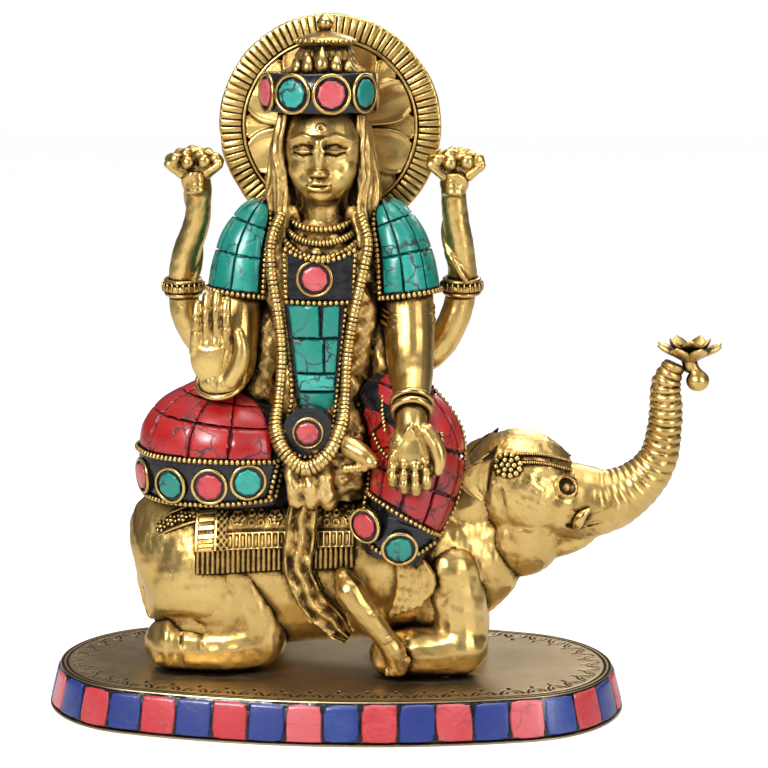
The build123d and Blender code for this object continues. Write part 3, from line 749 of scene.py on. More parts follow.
def chipBlock(start, stop, low, high, dice):
    slots = np.array([-1, -0.93, -0.8, -0.45, 0, 0.45, 0.8, 0.93, 1])
    lifts = {-1: 0.0, -0.93: 0.86, -0.8: 0.98}
    rows = []
    tilt = dice.uniform(-0.25, 0.25)
    skew = dice.uniform(-0.35, 0.35)
    nick = [dice.uniform(0.0, 0.55) for _ in range(4)]
    for v in slots:
        row = []
        for u in slots:
            corner = max(abs(u), abs(v))
            lift = 1.0 if corner < 0.8 else lifts[-1 if corner == 1 else (-0.93 if corner > 0.85 else -0.8)]
            s = (start + stop) / 2 + (stop - start) / 2 * u + skew * v * 0.5
            z = (low + high) / 2 + (high - low) / 2 * v + tilt * u * 0.35
            if abs(u) > 0.75 and abs(v) > 0.75:
                cut = nick[(u > 0) * 2 + (v > 0)]
                s -= math.copysign(cut, u)
                z -= math.copysign(cut * 0.7, v)
            s += 0.07 * math.sin(v * 9 + skew * 20)
            proud = 0.66 * lift + 0.04 * (1 - u * u) * (1 - v * v) + 0.05 * tilt * u
            row.append((s, z, proud))
        rows.append(row)
    return rows


def makeChips():
    look = plinthLook
    dice = random.Random(4)
    pitch = oval.length / look["chips"]
    low, high = look["lip"] + 0.3, plateTop - look["flange"] - 0.2
    for name, slotName, stone, first, node in (
        ("rim_chips_coral", "coral_red_stone", roseStone, 0, "chips_red"),
        ("rim_chips_lapis", "lapis_blue_stone", lapisStone, 1, "chips_blue"),
    ):
        points, faces, tones = [], [], []
        for i in range(first, look["chips"], 2):
            place = i + look["chipStart"]
            start = pitch * place + look["gap"] / 2 + dice.uniform(-0.12, 0.25)
            stop = pitch * (place + 1) - look["gap"] / 2 + dice.uniform(-0.25, 0.12)
            grid = chipBlock(start, stop, low + dice.uniform(0, 0.3), high - dice.uniform(0, 0.35), dice)
            tone = dice.choice((0.1, 0.25, 0.45, 0.6, 0.95))
            size = len(grid)
            shift = len(points)
            for row in grid:
                for s, z, proud in row:
                    x, y = oval.at(s, 0.72 + wallInset(z) - proud)
                    points.append((x * mm, y * mm, z * mm))
                    tones.append(tone)
            for r in range(size - 1):
                for c in range(size - 1):
                    a = shift + r * size + c
                    faces.append((a, a + 1, a + size + 1, a + size))
            back = len(points)
            ring = [(0, c) for c in range(size)] + [(r, size - 1) for r in range(1, size)]
            ring += [(size - 1, c) for c in range(size - 2, -1, -1)] + [(r, 0) for r in range(size - 2, 0,
                                                                                              -1)]
            for r, c in ring:
                s, z, _ = grid[r][c]
                x, y = oval.at(s, 1.6 + wallInset(z))
                points.append((x * mm, y * mm, z * mm))
                tones.append(tone)
            for k in range(len(ring)):
                n = (k + 1) % len(ring)
                a = shift + ring[k][0] * size + ring[k][1]
                b = shift + ring[n][0] * size + ring[n][1]
                faces.append((a, back + k, back + n, b))
            faces.append(tuple(back + k for k in range(len(ring))))
        mesh = bpy.data.meshes.new(name)
        mesh.from_pydata(points, [], faces)
        chips = bpy.data.objects.new(name, mesh)
        bpy.context.collection.objects.link(chips)
        paintNumber(chips, "tone", tones)
        faceOut(chips)
        finishPiece(chips, name, (slotName, stone), (node,), angle=40, shadeAndPatina=False)


makePlinth()
makeRimResin()
makeChips()
print("plinth ready")


# the kneeling elephant

def addBody(line, sizes, rings=48, across=40, side=(0, 1, 0)):
    spots = bend(np.hstack([np.array(line, dtype=float), np.array(sizes, dtype=float)]), rings)
    rows = []
    for i, spot in enumerate(spots):
        along = spots[min(i + 1, rings - 1)][:3] - spots[max(i - 1, 0)][:3]
        along /= np.linalg.norm(along)
        first = np.array(side, dtype=float) - along * np.dot(side, along)
        first /= np.linalg.norm(first)
        second = np.cross(along, first)
        angles = np.linspace(0, 2 * math.pi, across, endpoint=False)
        rows.append(
            spot[:3] + np.outer(np.cos(angles) * spot[3], first) + np.outer(np.sin(angles) * spot[4], second)
        )
    return faceOut(skin(rows))


barrelLook = {
    "line": [(-83.4, 2, 46), (-80.6, 1, 47), (-75, 0, 49), (-60, 0, 50), (-36, 0, 52), (-10, 0, 53),
             (14, 0, 54),
             (30, 0, 58), (37, 0, 66)],
    "sizes": [(4, 5), (14, 18), (20, 27), (24, 32), (24.5, 31), (23, 29.5), (21, 30), (17, 24), (9, 11)],
    "grain": 0.75,
}
barrelCurve = bend(np.hstack([np.array(barrelLook["line"], float), np.array(barrelLook["sizes"], float)]),
                   400)


def barrelAt(x, angle, lift):
    _, cy, cz, a, b = (np.interp(x, barrelCurve[:, 0], barrelCurve[:, k]) for k in range(5))
    return x, cy - (a + lift) * math.sin(angle), cz + (b + lift) * math.cos(angle)


def ringAt(centre, radius, height, width):
    return lambda p: height * np.exp(-(((np.linalg.norm(p - np.array(centre),
                                                        axis=1) - radius) / width) ** 2))


def mirrored(act):
    def both(points):
        folded = points.copy()
        folded[:, 1] = -np.abs(folded[:, 1])
        return act(folded)
    return both


def makeBarrel():
    look = barrelLook
    bits = [addBody(look["line"], look["sizes"], 60, 56)]
    for side in (-1, 1):
        bits.append(addBall((-59, 9 * side, 46), (24.4, 16.5, 28)))
        bits.append(addBall((21, 8.5 * side, 46), (14.5, 12.5, 22), (0, 6, 0)))
        bits.append(addLimb([(16, 8 * side, 60), (26, 8 * side, 54), (27, 8 * side, 46)], [14, 11, 9.0]))
    bits.append(addLimb([(24, 0, 70), (38, 0, 78), (46, 0, 80)], [14, 13, 12]))
    bits.append(addLimb([(20, 0, 57), (31, 0, 61), (41, 0, 67)], [19, 15.5, 10]))
    body = fuse(bits, look["grain"], 12)
    folds = [
        stroke([(10, -24, 64), (14, -23, 52), (19, -22, 42), (26, -22, 35)], -1.2, 1.5),
        stroke([(21, -24, 74), (24, -24, 62), (28, -22, 50), (31, -20, 40)], 1.4, 1.2),
        stroke([(24.5, -24, 75), (28, -23, 62), (32, -20, 50), (34, -18, 40)], -1.1, 1.0),
        stroke([(29, -21, 70), (32, -18, 60), (34, -16, 48)], 1.0, 1.1),
        stroke([(-48, -26, 51), (-41, -24, 44), (-36, -22, 36)], -1.4, 1.8),
        stroke([(-78, -20, 33), (-66, -24, 34.5), (-52, -24, 33), (-44, -23, 31)], -1.6, 2.2),
        stroke([(-6, -23, 44), (2, -24, 38), (8, -24, 30)], -0.8, 1.6),
    ]
    sculpt(body, *(mirrored(fold) for fold in folds))
    sculpt(body, wobble(0.22, 3.2, 2), wobble(0.1, 1.1, 3))
    finishPiece(body, "elephant_barrel", castFinish, ("elephant_body",), angle=0)


legLook = {
    "hindLine": [(-43, -14.4, 26.5), (-52, -15.2, 24.4), (-62, -15.2, 24.0), (-69, -15, 24.0),
                 (-73.5, -15, 24.6)],
    "hindSizes": [10.2, 9.6, 9.4, 9.2, 9.0],
    "foreLine": [(26.8, -15.6, 25.6), (20, -16.2, 24), (12, -16.8, 23.4), (6, -17.2, 22.8),
                 (3.5, -17.4, 22.4)],
    "foreSizes": [10.4, 9.4, 8.8, 8.2, 7.6],
    "grain": 0.65,
}


def outward(piece):
    # turn a closed shell's faces out by the sign of its volume
    points, _ = readPoints(piece)
    piece.data.calc_loop_triangles()
    tris = np.empty(len(piece.data.loop_triangles) * 3, dtype=np.int32)
    piece.data.loop_triangles.foreach_get("vertices", tris)
    a, b, c = (points[tris.reshape(-1, 3)[:, k]] for k in range(3))
    if (a * np.cross(b, c)).sum() < 0:
        piece.data.flip_normals()
    return piece


def flattenSole(leg):
    points, _ = readPoints(leg)
    low = plateTop - 0.05
    points[:, 2] = np.where(points[:, 2] < low + 1.5, low + (points[:, 2] - low).clip(0) * 0.6, points[:, 2])
    writePoints(leg, points)


def mirrorCopy(piece, name):
    twin = piece.copy()
    twin.data = piece.data.copy()
    bpy.context.collection.objects.link(twin)
    points, _ = readPoints(twin)
    points[:, 1] *= -1
    writePoints(twin, points)
    outward(twin)
    twin.name = name
    return twin


def makeLegs():
    look = legLook
    hind = [addLimb(look["hindLine"], look["hindSizes"])]
    hind.append(addBall((-53, -14.5, 41), (16, 10.5, 20), (0, 22, 0)))
    hind.append(addLimb([(-42.5, -14.2, 29), (-45, -14, 38), (-49, -13.6, 50)], [9.8, 10.6, 11.5]))
    hind.append(addBall((-73.2, -15, 25.0), (5.2, 9.6, 10.0)))
    leg = fuse(hind, look["grain"], 5)
    flattenSole(leg)
    sculpt(
        leg,
        stroke([(-68.8, -8, 33), (-68.6, -22, 31), (-68.6, -25, 24), (-68.6, -22, 16)], -1.0, 0.6),
        stroke([(-62, -8, 34), (-61.6, -22, 31), (-61.4, -25, 24)], -0.5, 0.6),
        dab((-77.4, -21.5, 20), 1.2, (2.0, 1.8, 2.2)),
        dab((-78.4, -17, 21.5), 1.2, (2.0, 1.8, 2.2)),
        dab((-78.6, -12.5, 22), 1.1, (2.0, 1.8, 2.2)),
        stroke([(-64, -22, 33), (-56, -22.5, 33), (-49, -21, 34.5)], -1.0, 1.0),
        wobble(0.2, 2.6, 7),
        wobble(0.08, 0.9, 8),
    )
    far = mirrorCopy(leg, "hindFar")
    finishPiece(leg, "hind_leg_near_cast", castFinish, ("hind_leg_near",), angle=0)
    finishPiece(far, "hind_leg_far_cast", castFinish, ("hind_leg_far",), angle=0)
    fore = [addLimb(look["foreLine"], look["foreSizes"])]
    fore.append(addLimb([(27.2, -14.5, 28), (26, -13.5, 40), (23, -13, 52)], [9.8, 10.2, 11]))
    fore.append(addBall((4.2, -17.2, 22.2), (5.4, 8.4, 8.0)))
    leg = fuse(fore, look["grain"], 5)
    flattenSole(leg)
    sculpt(
        leg,
        stroke([(9.5, -8, 30), (9.4, -23, 29), (9.4, -25, 22), (9.4, -22, 15)], -0.7, 0.7),
        dab((-0.5, -21.5, 20), 1.0, (1.9, 1.8, 2.4)),
        dab((-1.2, -17, 22.5), 1.0, (1.9, 1.8, 2.4)),
        dab((-0.2, -12.5, 24.5), 0.9, (1.9, 1.8, 2.4)),
        stroke([(10, -23, 32), (16, -24, 31.6), (22, -23, 34)], -0.9, 1.3),
        stroke([(24, -23, 46), (18, -24, 39), (12, -24, 34)], -0.7, 1.2),
        wobble(0.22, 2.6, 9),
        wobble(0.08, 0.9, 10),
    )
    far = mirrorCopy(leg, "foreFar")
    finishPiece(leg, "foreleg_near_cast", castFinish, ("foreleg_near",), angle=0)
    finishPiece(far, "foreleg_far_cast", castFinish, ("foreleg_far",), angle=0)


headLook = {
    "trunkLine": [(60, 0, 74.0), (69.5, 0, 73.0), (79.0, 0, 74.2), (88.2, 0, 80.0), (94.4, 0, 88.6),
                  (96.4, 0, 98.4),
                  (96.8, 0, 107), (96.8, 0, 115), (99.4, 0, 122)],
    "trunkSizes": [(12.6, 13.6), (11.4, 12.8), (9.8, 10.8), (8.1, 8.5), (6.8, 7.0), (6.1, 6.2), (5.7, 5.8),
                   (5.2, 5.2), (3.6, 3.8)],
    "rings": 27, "ringDepth": 0.55, "grain": 0.65,
}


def makeHead():
    look = headLook
    bits = [addBall((47, 0, 79), (20, 16.5, 19.2), (0, 16, 0))]
    bits.append(addBall((47, 0, 62.5), (15.5, 13.5, 16.5), (0, -12, 0)))
    bits.append(addBall((60, 0, 75), (13, 13.2, 11.5)))
    bits.append(addLimb([(50, 0, 60), (60, 0, 59.6), (69, 0, 61.5), (74, 0, 64.5)], [9.5, 6.6, 4.6, 3.0]))
    bits.append(addLimb([(60, 0, 72.5), (71, 0, 71.5), (78, 0, 73)], [12.4, 11.4, 10.2]))
    head = fuse(bits, look["grain"], 16)
    marks = [
        dab((55, -13.5, 68), 1.7, (7.5, 5, 6.5)),
        dab((46, -13, 57), 1.0, (6, 5, 6)),
        stroke([(58, -13, 88), (64, -13.5, 87), (69, -12, 84)], 1.2, 1.9),
        dab((57, -14, 84), -1.3, (3.6, 5, 3.2)),
        ringAt((63.6, -12.2, 81.4), 3.7, 0.9, 0.75),
        ringAt((63.6, -12.2, 81.4), 2.6, -0.8, 0.5),
        stroke([(60.2, -13, 82.2), (62.6, -13.4, 83.6), (66.4, -12.6, 82.6), (68.2, -12, 80.6)], 0.7, 0.5),
        dab((63.6, -13.4, 81.4), 1.5, (1.7, 3, 1.7)),
        stroke([(60.5, -13, 77.6), (64, -13, 76.6), (67.5, -12, 78)], -0.5, 0.6),
        stroke([(63, -10.6, 67.5), (66.5, -11.4, 66), (70, -10.8, 66.6), (74, -9.6, 68), (78.5, -8, 69.2)],
               -1.4, 0.8),
        stroke([(71, -11, 72), (75, -10, 75), (76, -9.6, 78)], -0.6, 1.0),
        stroke([(38, -15, 90), (44, -14.6, 91), (52, -13, 91.4), (60, -11, 90)], 0.9, 0.9),
        stroke([(41, -14, 93.2), (48, -12.6, 94.8), (56, -10.6, 93.4), (63, -8, 90)], 0.5, 0.6),
        stroke([(40, -15.8, 80), (42, -15.4, 70), (46, -14, 62), (45, -13, 52)], -0.7, 1.6),
    ]
    sculpt(head, *(mirrored(mark) for mark in marks))
    def crownMarks(p):
        ridge = np.exp(-((p[:, 1] / 1.1) ** 2)) * (p[:, 2] > 82) * (p[:, 0] < 72)
        return ridge * 0.3 * (p[:, 0] > 36)
    sculpt(head, crownMarks, wobble(0.2, 2.4, 12), wobble(0.12, 0.8, 13))
    finishPiece(head, "elephant_head_cast", castFinish, ("elephant_head", "elephant_eyes"), angle=0)


def makeTrunk():
    look = headLook
    rings, across = 260, 44
    trunk = addBody(look["trunkLine"], look["trunkSizes"], rings, across)
    curve = bend(np.array(look["trunkLine"], float), 300)
    lengths = np.concatenate([[0], np.cumsum(np.linalg.norm(np.diff(curve, axis=0), axis=1))])
    points, normals = readPoints(trunk)
    share = np.empty(len(points))
    for start in range(0, len(points), 2000):
        part = points[start : start + 2000]
        share[start : start + 2000] = lengths[((part[:, None] - curve[None]) ** 2).sum(axis=2).argmin(axis=1)]
    share /= lengths[-1]
    phase = share * look["rings"] + 0.25 * np.sin(points[:, 1] * 0.5)
    saw = np.abs(np.sin(np.pi * phase)) ** 0.45
    fade = np.clip((share - 0.17) / 0.14, 0, 1)
    strong = 0.55 + 0.6 * np.clip((share - 0.45) / 0.2, 0, 1)
    lift = (saw - 1) * look["ringDepth"] * 1.5 * strong * fade
    writePoints(trunk, points + normals * lift[:, None])
    sculpt(trunk, wobble(0.14, 1.6, 15))
    finishPiece(trunk, "elephant_trunk_cast", castFinish, ("elephant_trunk",), angle=0)


def makeTusksAndEars():
    tusk = addLimb([(66.5, -9.5, 66.5), (67.2, -12, 68.6), (68.6, -12.6, 71.2), (70.8, -12.2, 73)],
                   [1.6, 2.0, 1.7, 0.8])
    tusk = fuse([tusk], 0.35, 3)
    twin = mirrorCopy(tusk, "tusk")
    finishPiece(joinUp([tusk, twin], "tusks"), "tusk_pair", brightFinish, ("elephant_tusks",), angle=0)
    rows = []
    outline = bend(np.array([(39, 93.5, 0.6), (36, 93, 3.0), (33.4, 90.5, 4.8), (32.0, 87.4, 5.4),
                             (32.2, 84, 4.4),
                             (33.6, 81, 2.6), (35.4, 78.6, 0.6)], float), 40)
    for i, (x, z, half) in enumerate(outline):
        row = []
        for turn in np.linspace(0, 2 * math.pi, 30, endpoint=False):
            u = math.cos(turn)
            roll = 2.2 * max(0.0, -u) ** 2
            bow = -15.6 - 3.4 * math.sin(math.pi * i / 39) * (0.5 - 0.6 * u) - roll
            row.append((x + half * u, bow + 1.15 * math.sin(turn) - 0.35 * math.sin(u * 6 + 0.1 * i),
                        z + 2.2 * u))
        rows.append(row)
    ear = outward(skin(rows))
    applyModifier(ear, "SUBSURF", levels=1, render_levels=1)
    sculpt(ear, wobble(0.2, 1.6, 18))
    twin = mirrorCopy(ear, "earFar")
    finishPiece(joinUp([ear, twin], "ears"), "ear_pair", castFinish, ("elephant_ears",), angle=0)


def makeHeadOrnament():
    bits = []
    dice = random.Random(3)
    def onHead(angle, reach):
        return 43 + reach * math.cos(angle), 88.6 + reach * 0.8 * math.sin(angle)
    seeds = [(0, 0)] + [(2.1, k * math.pi / 3) for k in range(6)]
    seeds += [(4.1, k * math.pi / 6 + 0.2) for k in range(12)]
    for reach, angle in seeds:
        x, z = onHead(angle, reach)
        y = -16.9 * math.sqrt(max(0.02, 1 - ((x - 47) / 21) ** 2 - ((z - 79) / 20) ** 2)) - 0.1
        bits.append(addBall((x, y, z), (1.15, 0.9, 1.05), parts=(10, 6)))
    for lift in (0.0, 2.6):
        for k in range(24):
            x = 46.5 + k * 0.78
            z = 89.6 + lift + 0.09 * (x - 47) - 0.018 * (x - 47) ** 2
            room = 1 - ((x - 47) / 20.6) ** 2 - ((z - 79.4) / 19.8) ** 2
            bits.append(addBall((x, -16.6 * math.sqrt(max(0.02, room)) - 0.1, z), (0.5, 0.6, 0.5),
                                parts=(8, 5)))
    beads = joinUp(bits, "ornament")
    twin = mirrorCopy(beads, "ornamentFar")
    finishPiece(joinUp([beads, twin], "ornaments"), "brow_ornament", brightFinish, ("head_ornament",))


def makeTail():
    tail = addLimb([(-82, 10, 66), (-86.5, 11, 58), (-88.2, 12, 46), (-86.8, 12, 34), (-84, 12, 27)],
                   [2.3, 1.9, 1.6, 1.6, 2.4])
    tail = fuse([tail], 0.5, 3)
    sculpt(tail, stroke([(-87, 9.6, 36), (-84, 10, 24)], -0.4, 0.5), wobble(0.12, 1.2, 20))
    finishPiece(tail, "tail_cast", castFinish, ("elephant_tail",), angle=0)


clothLook = {
    "back": -63.0, "front": -9.0, "lift": 1.5, "edgeAngle": 74.0, "fringeAngle": 87.0, "columns": 250,
    "rows": 300,
}


def clothHeight(x, down, angle):
    look = clothLook
    across = x - look["back"]
    level = 0.0
    if angle > look["edgeAngle"]:
        rib = abs(math.sin(math.pi * across / 1.75))
        return -0.5 + 0.5 * rib**0.7
    if across < 7.5:
        level = 0.1 + 0.42 * (math.sin(down * 2 * math.pi / 2.5) > 0)
        return 0.35 if across < 0.9 or across > 6.6 else level
    if across < 11.2:
        return 0.2 + 0.3 * math.sin(across * 3) * math.sin(down * 2.8)
    low = look["edgeDown"] - down
    if low < 5.0:
        if low < 0.7 or low > 4.3:
            return 0.4
        return 0.05 + 0.42 * max(0.0, math.cos(across * 2 * math.pi / 2.2)) ** 0.6
    if low < 6.2:
        return -0.25
    gx, gz = (across - 11.2) / 6.4, (low - 6.2) / 6.4
    cx, cz = gx - math.floor(gx) - 0.5, gz - math.floor(gz) - 0.5
    reach = math.hypot(cx, cz) * 6.4
    if (math.floor(gx) + math.floor(gz)) % 2 == 0:
        petals = 2.1 + 0.35 * math.cos(6 * math.atan2(cz, cx))
        heart = 0.5 * math.exp(-((reach / 0.8) ** 2))
        return 0.42 * math.exp(-(((reach - petals) / 0.5) ** 2)) + heart - 0.12
    fx, fz = (gx * 2) % 1 - 0.5, (gz * 2) % 1 - 0.5
    small = math.hypot(fx, fz) * 3.2
    return 0.4 * math.exp(-(((small - 0.95) / 0.34) ** 2)) - 0.12


def makeSaddleCloth():
    look = clothLook
    rows, hollow = [], []
    angles = np.radians(np.linspace(-look["fringeAngle"], look["fringeAngle"], look["rows"]))
    edgeAngle = math.radians(look["edgeAngle"])
    look["edgeDown"] = 27.0 * edgeAngle
    for x in np.linspace(look["back"], look["front"], look["columns"]):
        row = []
        for angle in angles:
            lift = clothHeight(x, 27.0 * abs(angle), math.degrees(abs(angle)))
            row.append(barrelAt(x, angle, look["lift"] + lift * 1.35))
            # painted shade in the low parts of the relief
            hollow.append(min(0.8, max(0.0, 0.3 - lift * 1.15)))
        rows.append(row)
    outer = np.array(rows)
    size = outer.shape[:2]
    cloth = skin(rows, closed=False, caps=False)
    paintNumber(cloth, "given_painted_shade", hollow)
    pick(cloth)
    bpy.ops.object.mode_set(mode="EDIT")
    bpy.ops.mesh.select_all(action="SELECT")
    bpy.ops.mesh.normals_make_consistent(inside=False)
    bpy.ops.object.mode_set(mode="OBJECT")
    points, normals = readPoints(cloth)
    if (normals[:, 2] * (points[:, 2] > 75)).sum() < 0:
        cloth.data.flip_normals()
    applyModifier(cloth, "SOLIDIFY", thickness=1.7 * mm, offset=-1.0)
    finishPiece(cloth, "saddle_cloth_cast", castFinish, ("saddle_cloth", "saddle_fringe"), angle=50)


def makeCrupper():
    rosette = addBall((0, 0, 0), (1.0, 1.0, 0.9), parts=(10, 6))
    bits = [rosette]
    for k in range(6):
        a = k * math.pi / 3
        bits.append(addBall((1.55 * math.cos(a), 1.55 * math.sin(a), -0.1), (0.75, 0.75, 0.6), parts=(8, 5)))
    rosette = joinUp(bits, "rosette")
    places = []
    for side in (-1, 1):
        for k in range(6):
            x = -83.6 + 3.9 * k
            angle = math.radians(47 + 1.2 * (6 - k))
            px, py, pz = barrelAt(x, angle, 1.6)
            ahead = np.array(barrelAt(x + 0.5, angle, 1.6)) - np.array((px, py, pz))
            normal = np.array((ahead[0] * 0 - (0.9 if x < -80 else 0.35), -math.sin(angle), math.cos(angle)))
            places.append(((px, py * -side, pz), 1.0, basis((normal[0], normal[1] * -side, normal[2]))))
    row = copies(rosette, places, "rosettes")
    discard(rosette)
    wires = []
    for side in (-1, 1):
        for lift in (-6.5, 6.5):
            line = []
            for k in range(7):
                x = -85.0 + 3.9 * k
                px, py, pz = barrelAt(x, math.radians(47 + 1.2 * (6 - k) + lift), 0.9)
                line.append((px, py * -side, pz))
            wires.append(addLimb(line, [0.55] * len(line), sides=2, steps=4))
    finishPiece(joinUp([row, *wires], "crupper"), "crupper_rosettes", brightFinish, ("crupper_band",))


makeBarrel()
makeLegs()
makeHead()
makeTrunk()
makeTusksAndEars()
makeHeadOrnament()
makeTail()
makeSaddleCloth()
makeCrupper()
print("elephant ready")


# the seated figure: castings

def bothHands(act):
    def both(points):
        folded = points.copy()
        folded[:, 0] = figureX + np.abs(folded[:, 0] - figureX)
        return act(folded)
    return both


torsoLook = {
    "line": [(-21.5, -3, 78), (-21.5, -4, 90), (-21.5, -4, 100), (-20, -2, 110), (-19.7, 0, 119),
             (-20.2, 0, 132),
             (-20.5, -0.5, 146), (-20.5, 0, 160), (-20.5, 0.5, 168), (-20.5, 0, 173), (-20.5, -1, 179)],
    "sizes": [(22, 20), (23, 21), (21.5, 20), (18.5, 15), (17.5, 12.5), (19.5, 14), (21.5, 15), (21, 13.5),
              (16, 10), (8.5, 8), (7, 7)],
    "grain": 0.6,
}


def makeTorso():
    look = torsoLook
    bits = [addBody(look["line"], look["sizes"], 60, 60, side=(1, 0, 0))]
    for k in range(5):
        z = 96 - 3.6 * k
        bits.append(addLimb([(-33, -20, z + 3), (-24, -24.5, z), (-15, -24.5, z - 0.5), (-8, -21, z + 2)],
                            [2.4] * 4))
    for x, w in ((-30, 2.6), (-24.5, 3.0), (-19.0, 3.0)):
        bits.append(addLimb([(x, -25, 92), (x + 1, -28.5, 87), (x + 1.5, -29.2, 82), (x + 2, -28, 78.5)],
                            [w] * 4))
    bits.append(addLimb([(-37, -2, 146), (-39.5, -3, 134), (-41.5, -3.5, 122), (-43.5, -4, 110)],
                        [3.0, 5.4, 6.8, 6.4]))
    bits.append(addLimb([(-3, -2, 142), (-0.6, -3, 130), (1.4, -3.5, 118), (2.6, -4, 106)],
                        [3.0, 4.6, 6.0, 6.0]))
    body = fuse(bits, look["grain"], 4)
    def drapery(p):
        around = np.arctan2(p[:, 0] - figureX, -p[:, 1] + 2)
        folds = np.sin(around * 13 + p[:, 2] * 0.2 + 1.6 * np.sin(p[:, 2] * 0.17))
        return 0.75 * folds * ((p[:, 2] > 100) & (p[:, 2] < 150)) * (np.abs(p[:, 0] - figureX) > 8)
    sculpt(body, drapery, wobble(0.5, 1.9, 22), wobble(0.25, 0.8, 23))
    finishPiece(body, "torso_cast", roughFinish, ("torso",), angle=0)


faceLook = {"middle": figureX + 0.6, "chin": 175.9, "unit": 37.3 / 8, "grain": 0.42}


def makeHeadOfDeity():
    look = faceLook
    cx = look["middle"]
    unit = look["unit"]
    def up(share):
        return look["chin"] + unit * share
    bits = [addBall((cx, -4.0, up(4.3)), (13.0, 14.6, 17.0))]
    bits.append(addBall((cx, -7.2, up(2.2)), (9.4, 10.6, 10.2)))
    bits.append(addBall((cx + 5, -9.5, up(2.9)), (5.6, 6.4, 6.4)))
    bits.append(addBall((cx - 5, -9.5, up(2.9)), (5.6, 6.4, 6.4)))
    bits.append(addLimb([(figureX, -0.5, 168), (figureX, -1.5, 178), (figureX, -2, 184)], [8.0, 7.2, 7.4]))
    head = fuse(bits, look["grain"], 9)
    eye, brow, nose, mouth = up(4.0), up(5.0), up(2.35), up(1.5)
    def front(act):
        return bothHands(lambda p: act(p) * (p[:, 1] < -8))
    def side(points, height, width):
        line = [(figureX + x, z) for x, z in points]
        def act(p):
            flat = p[:, [0, 2]]
            best = np.full(len(p), 1e9)
            for start, stop in zip(line[:-1], line[1:]):
                start, run = np.array(start), np.array(stop) - np.array(start)
                share = np.clip((flat - start) @ run / (run @ run), 0, 1)
                best = np.minimum(best, np.linalg.norm(flat - (start + share[:, None] * run), axis=1))
            return height * np.exp(-((best / width) ** 2))
        return front(act)
    def patch(x, z, height, wx, wz):
        def act(p):
            across, up = (p[:, 0] - figureX - x) / wx, (p[:, 2] - z) / wz
            return height * np.exp(-(across**2) - (up**2))
        return front(act)
    marks = [
        patch(5.0, eye + 0.4, -1.9, 3.6, 2.4),
        patch(1.6, eye + 0.6, -0.7, 1.6, 2.4),
        side([(0, brow - 1.4), (0, nose + 1.2)], 2.1, 1.55),
        patch(0, nose + 0.5, 1.5, 1.7, 1.5),
        patch(1.75, nose + 0.2, 0.9, 1.0, 0.95),
        side([(0.4, nose - 1.1), (2.2, nose - 0.9)], -0.55, 0.5),
        side([(1.4, brow - 0.3), (4.8, brow + 0.9), (9.2, brow - 0.9)], 0.55, 0.7),
        patch(5.0, eye, 1.7, 2.8, 1.35),
        side([(2.2, eye - 0.5), (5.0, eye - 1.35), (8.0, eye - 0.3)], -0.75, 0.36),
        side([(2.0, eye + 1.5), (5.0, eye + 2.2), (8.2, eye + 1.3)], -0.6, 0.38),
        side([(2.3, eye - 1.3), (5.0, eye - 2.1), (7.8, eye - 1.2)], 0.4, 0.45),
        patch(0, mouth + 0.1, 1.1, 3.6, 1.9),
        side([(0.0, mouth + 1.25), (1.3, mouth + 1.5), (3.4, mouth + 0.35)], 0.42, 0.5),
        side([(0.0, mouth - 1.1), (1.6, mouth - 1.0), (3.0, mouth - 0.1)], 0.6, 0.62),
        side([(0.0, mouth + 0.25), (1.6, mouth + 0.3), (3.8, mouth + 0.55)], -0.85, 0.3),
        patch(0, mouth + 2.6, -0.3, 0.5, 0.8),
        side([(0, mouth - 2.4), (2.6, mouth - 2.2)], -0.5, 0.8),
        patch(0, mouth - 4.6, 0.9, 2.6, 1.9),
        patch(7.2, mouth + 2.4, 0.5, 3.0, 3.2),
    ]
    marks.append(lambda p: 0.55 * np.exp(-(((np.hypot(p[:, 0] - cx,
                                                      p[:,
                                                        2] - up(5.7)) - 1.0) / 0.34) ** 2)) * (p[:, 1] < -8))
    sculpt(head, *marks)
    sculpt(head, wobble(0.06, 1.6, 24))
    points, _ = readPoints(head)
    share = np.clip((points[:, 2] - look["chin"]) / 8.0, 0, 1)
    points[:, 0] = cx + (points[:, 0] - cx) * (1 + 0.12 * share)
    writePoints(head, points)
    finishPiece(head, "head_cast", castFinish, ("head",), angle=0)


def makeHair():
    bits = [addBall((figureX + 0.4, 1.5, 196), (15.6, 14.6, 19))]
    for s in (-1, 1):
        bits.append(addLimb(
            [(figureX + s * 12.2, -9, 206), (figureX + s * 13.6, -8.5, 196), (figureX + s * 13.4, -7.5, 186),
             (figureX + s * 12.6, -6.5, 177), (figureX + s * 12.6, -9.0, 169),
             (figureX + s * 13, -11.5, 163)],
            [2.6, 3.2, 3.4, 3.6, 2.8, 1.6],
        ))
        bits.append(addLimb([(figureX + s * 13.6, -2, 200), (figureX + s * 15.4, -2.5, 188),
                             (figureX + s * 16.4, -3.5, 178),
                             (figureX + s * 15.6, -5, 170)], [3.4, 3.6, 3.4, 1.8]))
        bits.append(addLimb([(figureX + s * 11.4, -5.6, 207), (figureX + s * 13.4, -6.6, 196),
                             (figureX + s * 13.2, -6.8, 186),
                             (figureX + s * 11.8, -6.4, 177), (figureX + s * 9.6, -6, 170)],
                             [3.0, 3.6, 3.8, 3.4, 2.6]))
    hair = fuse(bits, 0.5, 3)
    points, _ = readPoints(hair)
    inside = (points[:, 1] < -5.5) & (np.abs(points[:, 0] - figureX - 0.4) < 11.6) & (points[:, 2] > 176)
    points[inside, 1] = -5.5
    writePoints(hair, points)
    def strands(p):
        around = np.arctan2(p[:, 0] - figureX, -(p[:, 1] - 4))
        return 0.34 * np.sin(around * 52 + 1.5 * np.sin(p[:, 2] * 0.33)) - 0.1
    sculpt(hair, strands, wobble(0.2, 1.2, 26))
    finishPiece(hair, "hair_cast", roughFinish, ("hair",), angle=0)


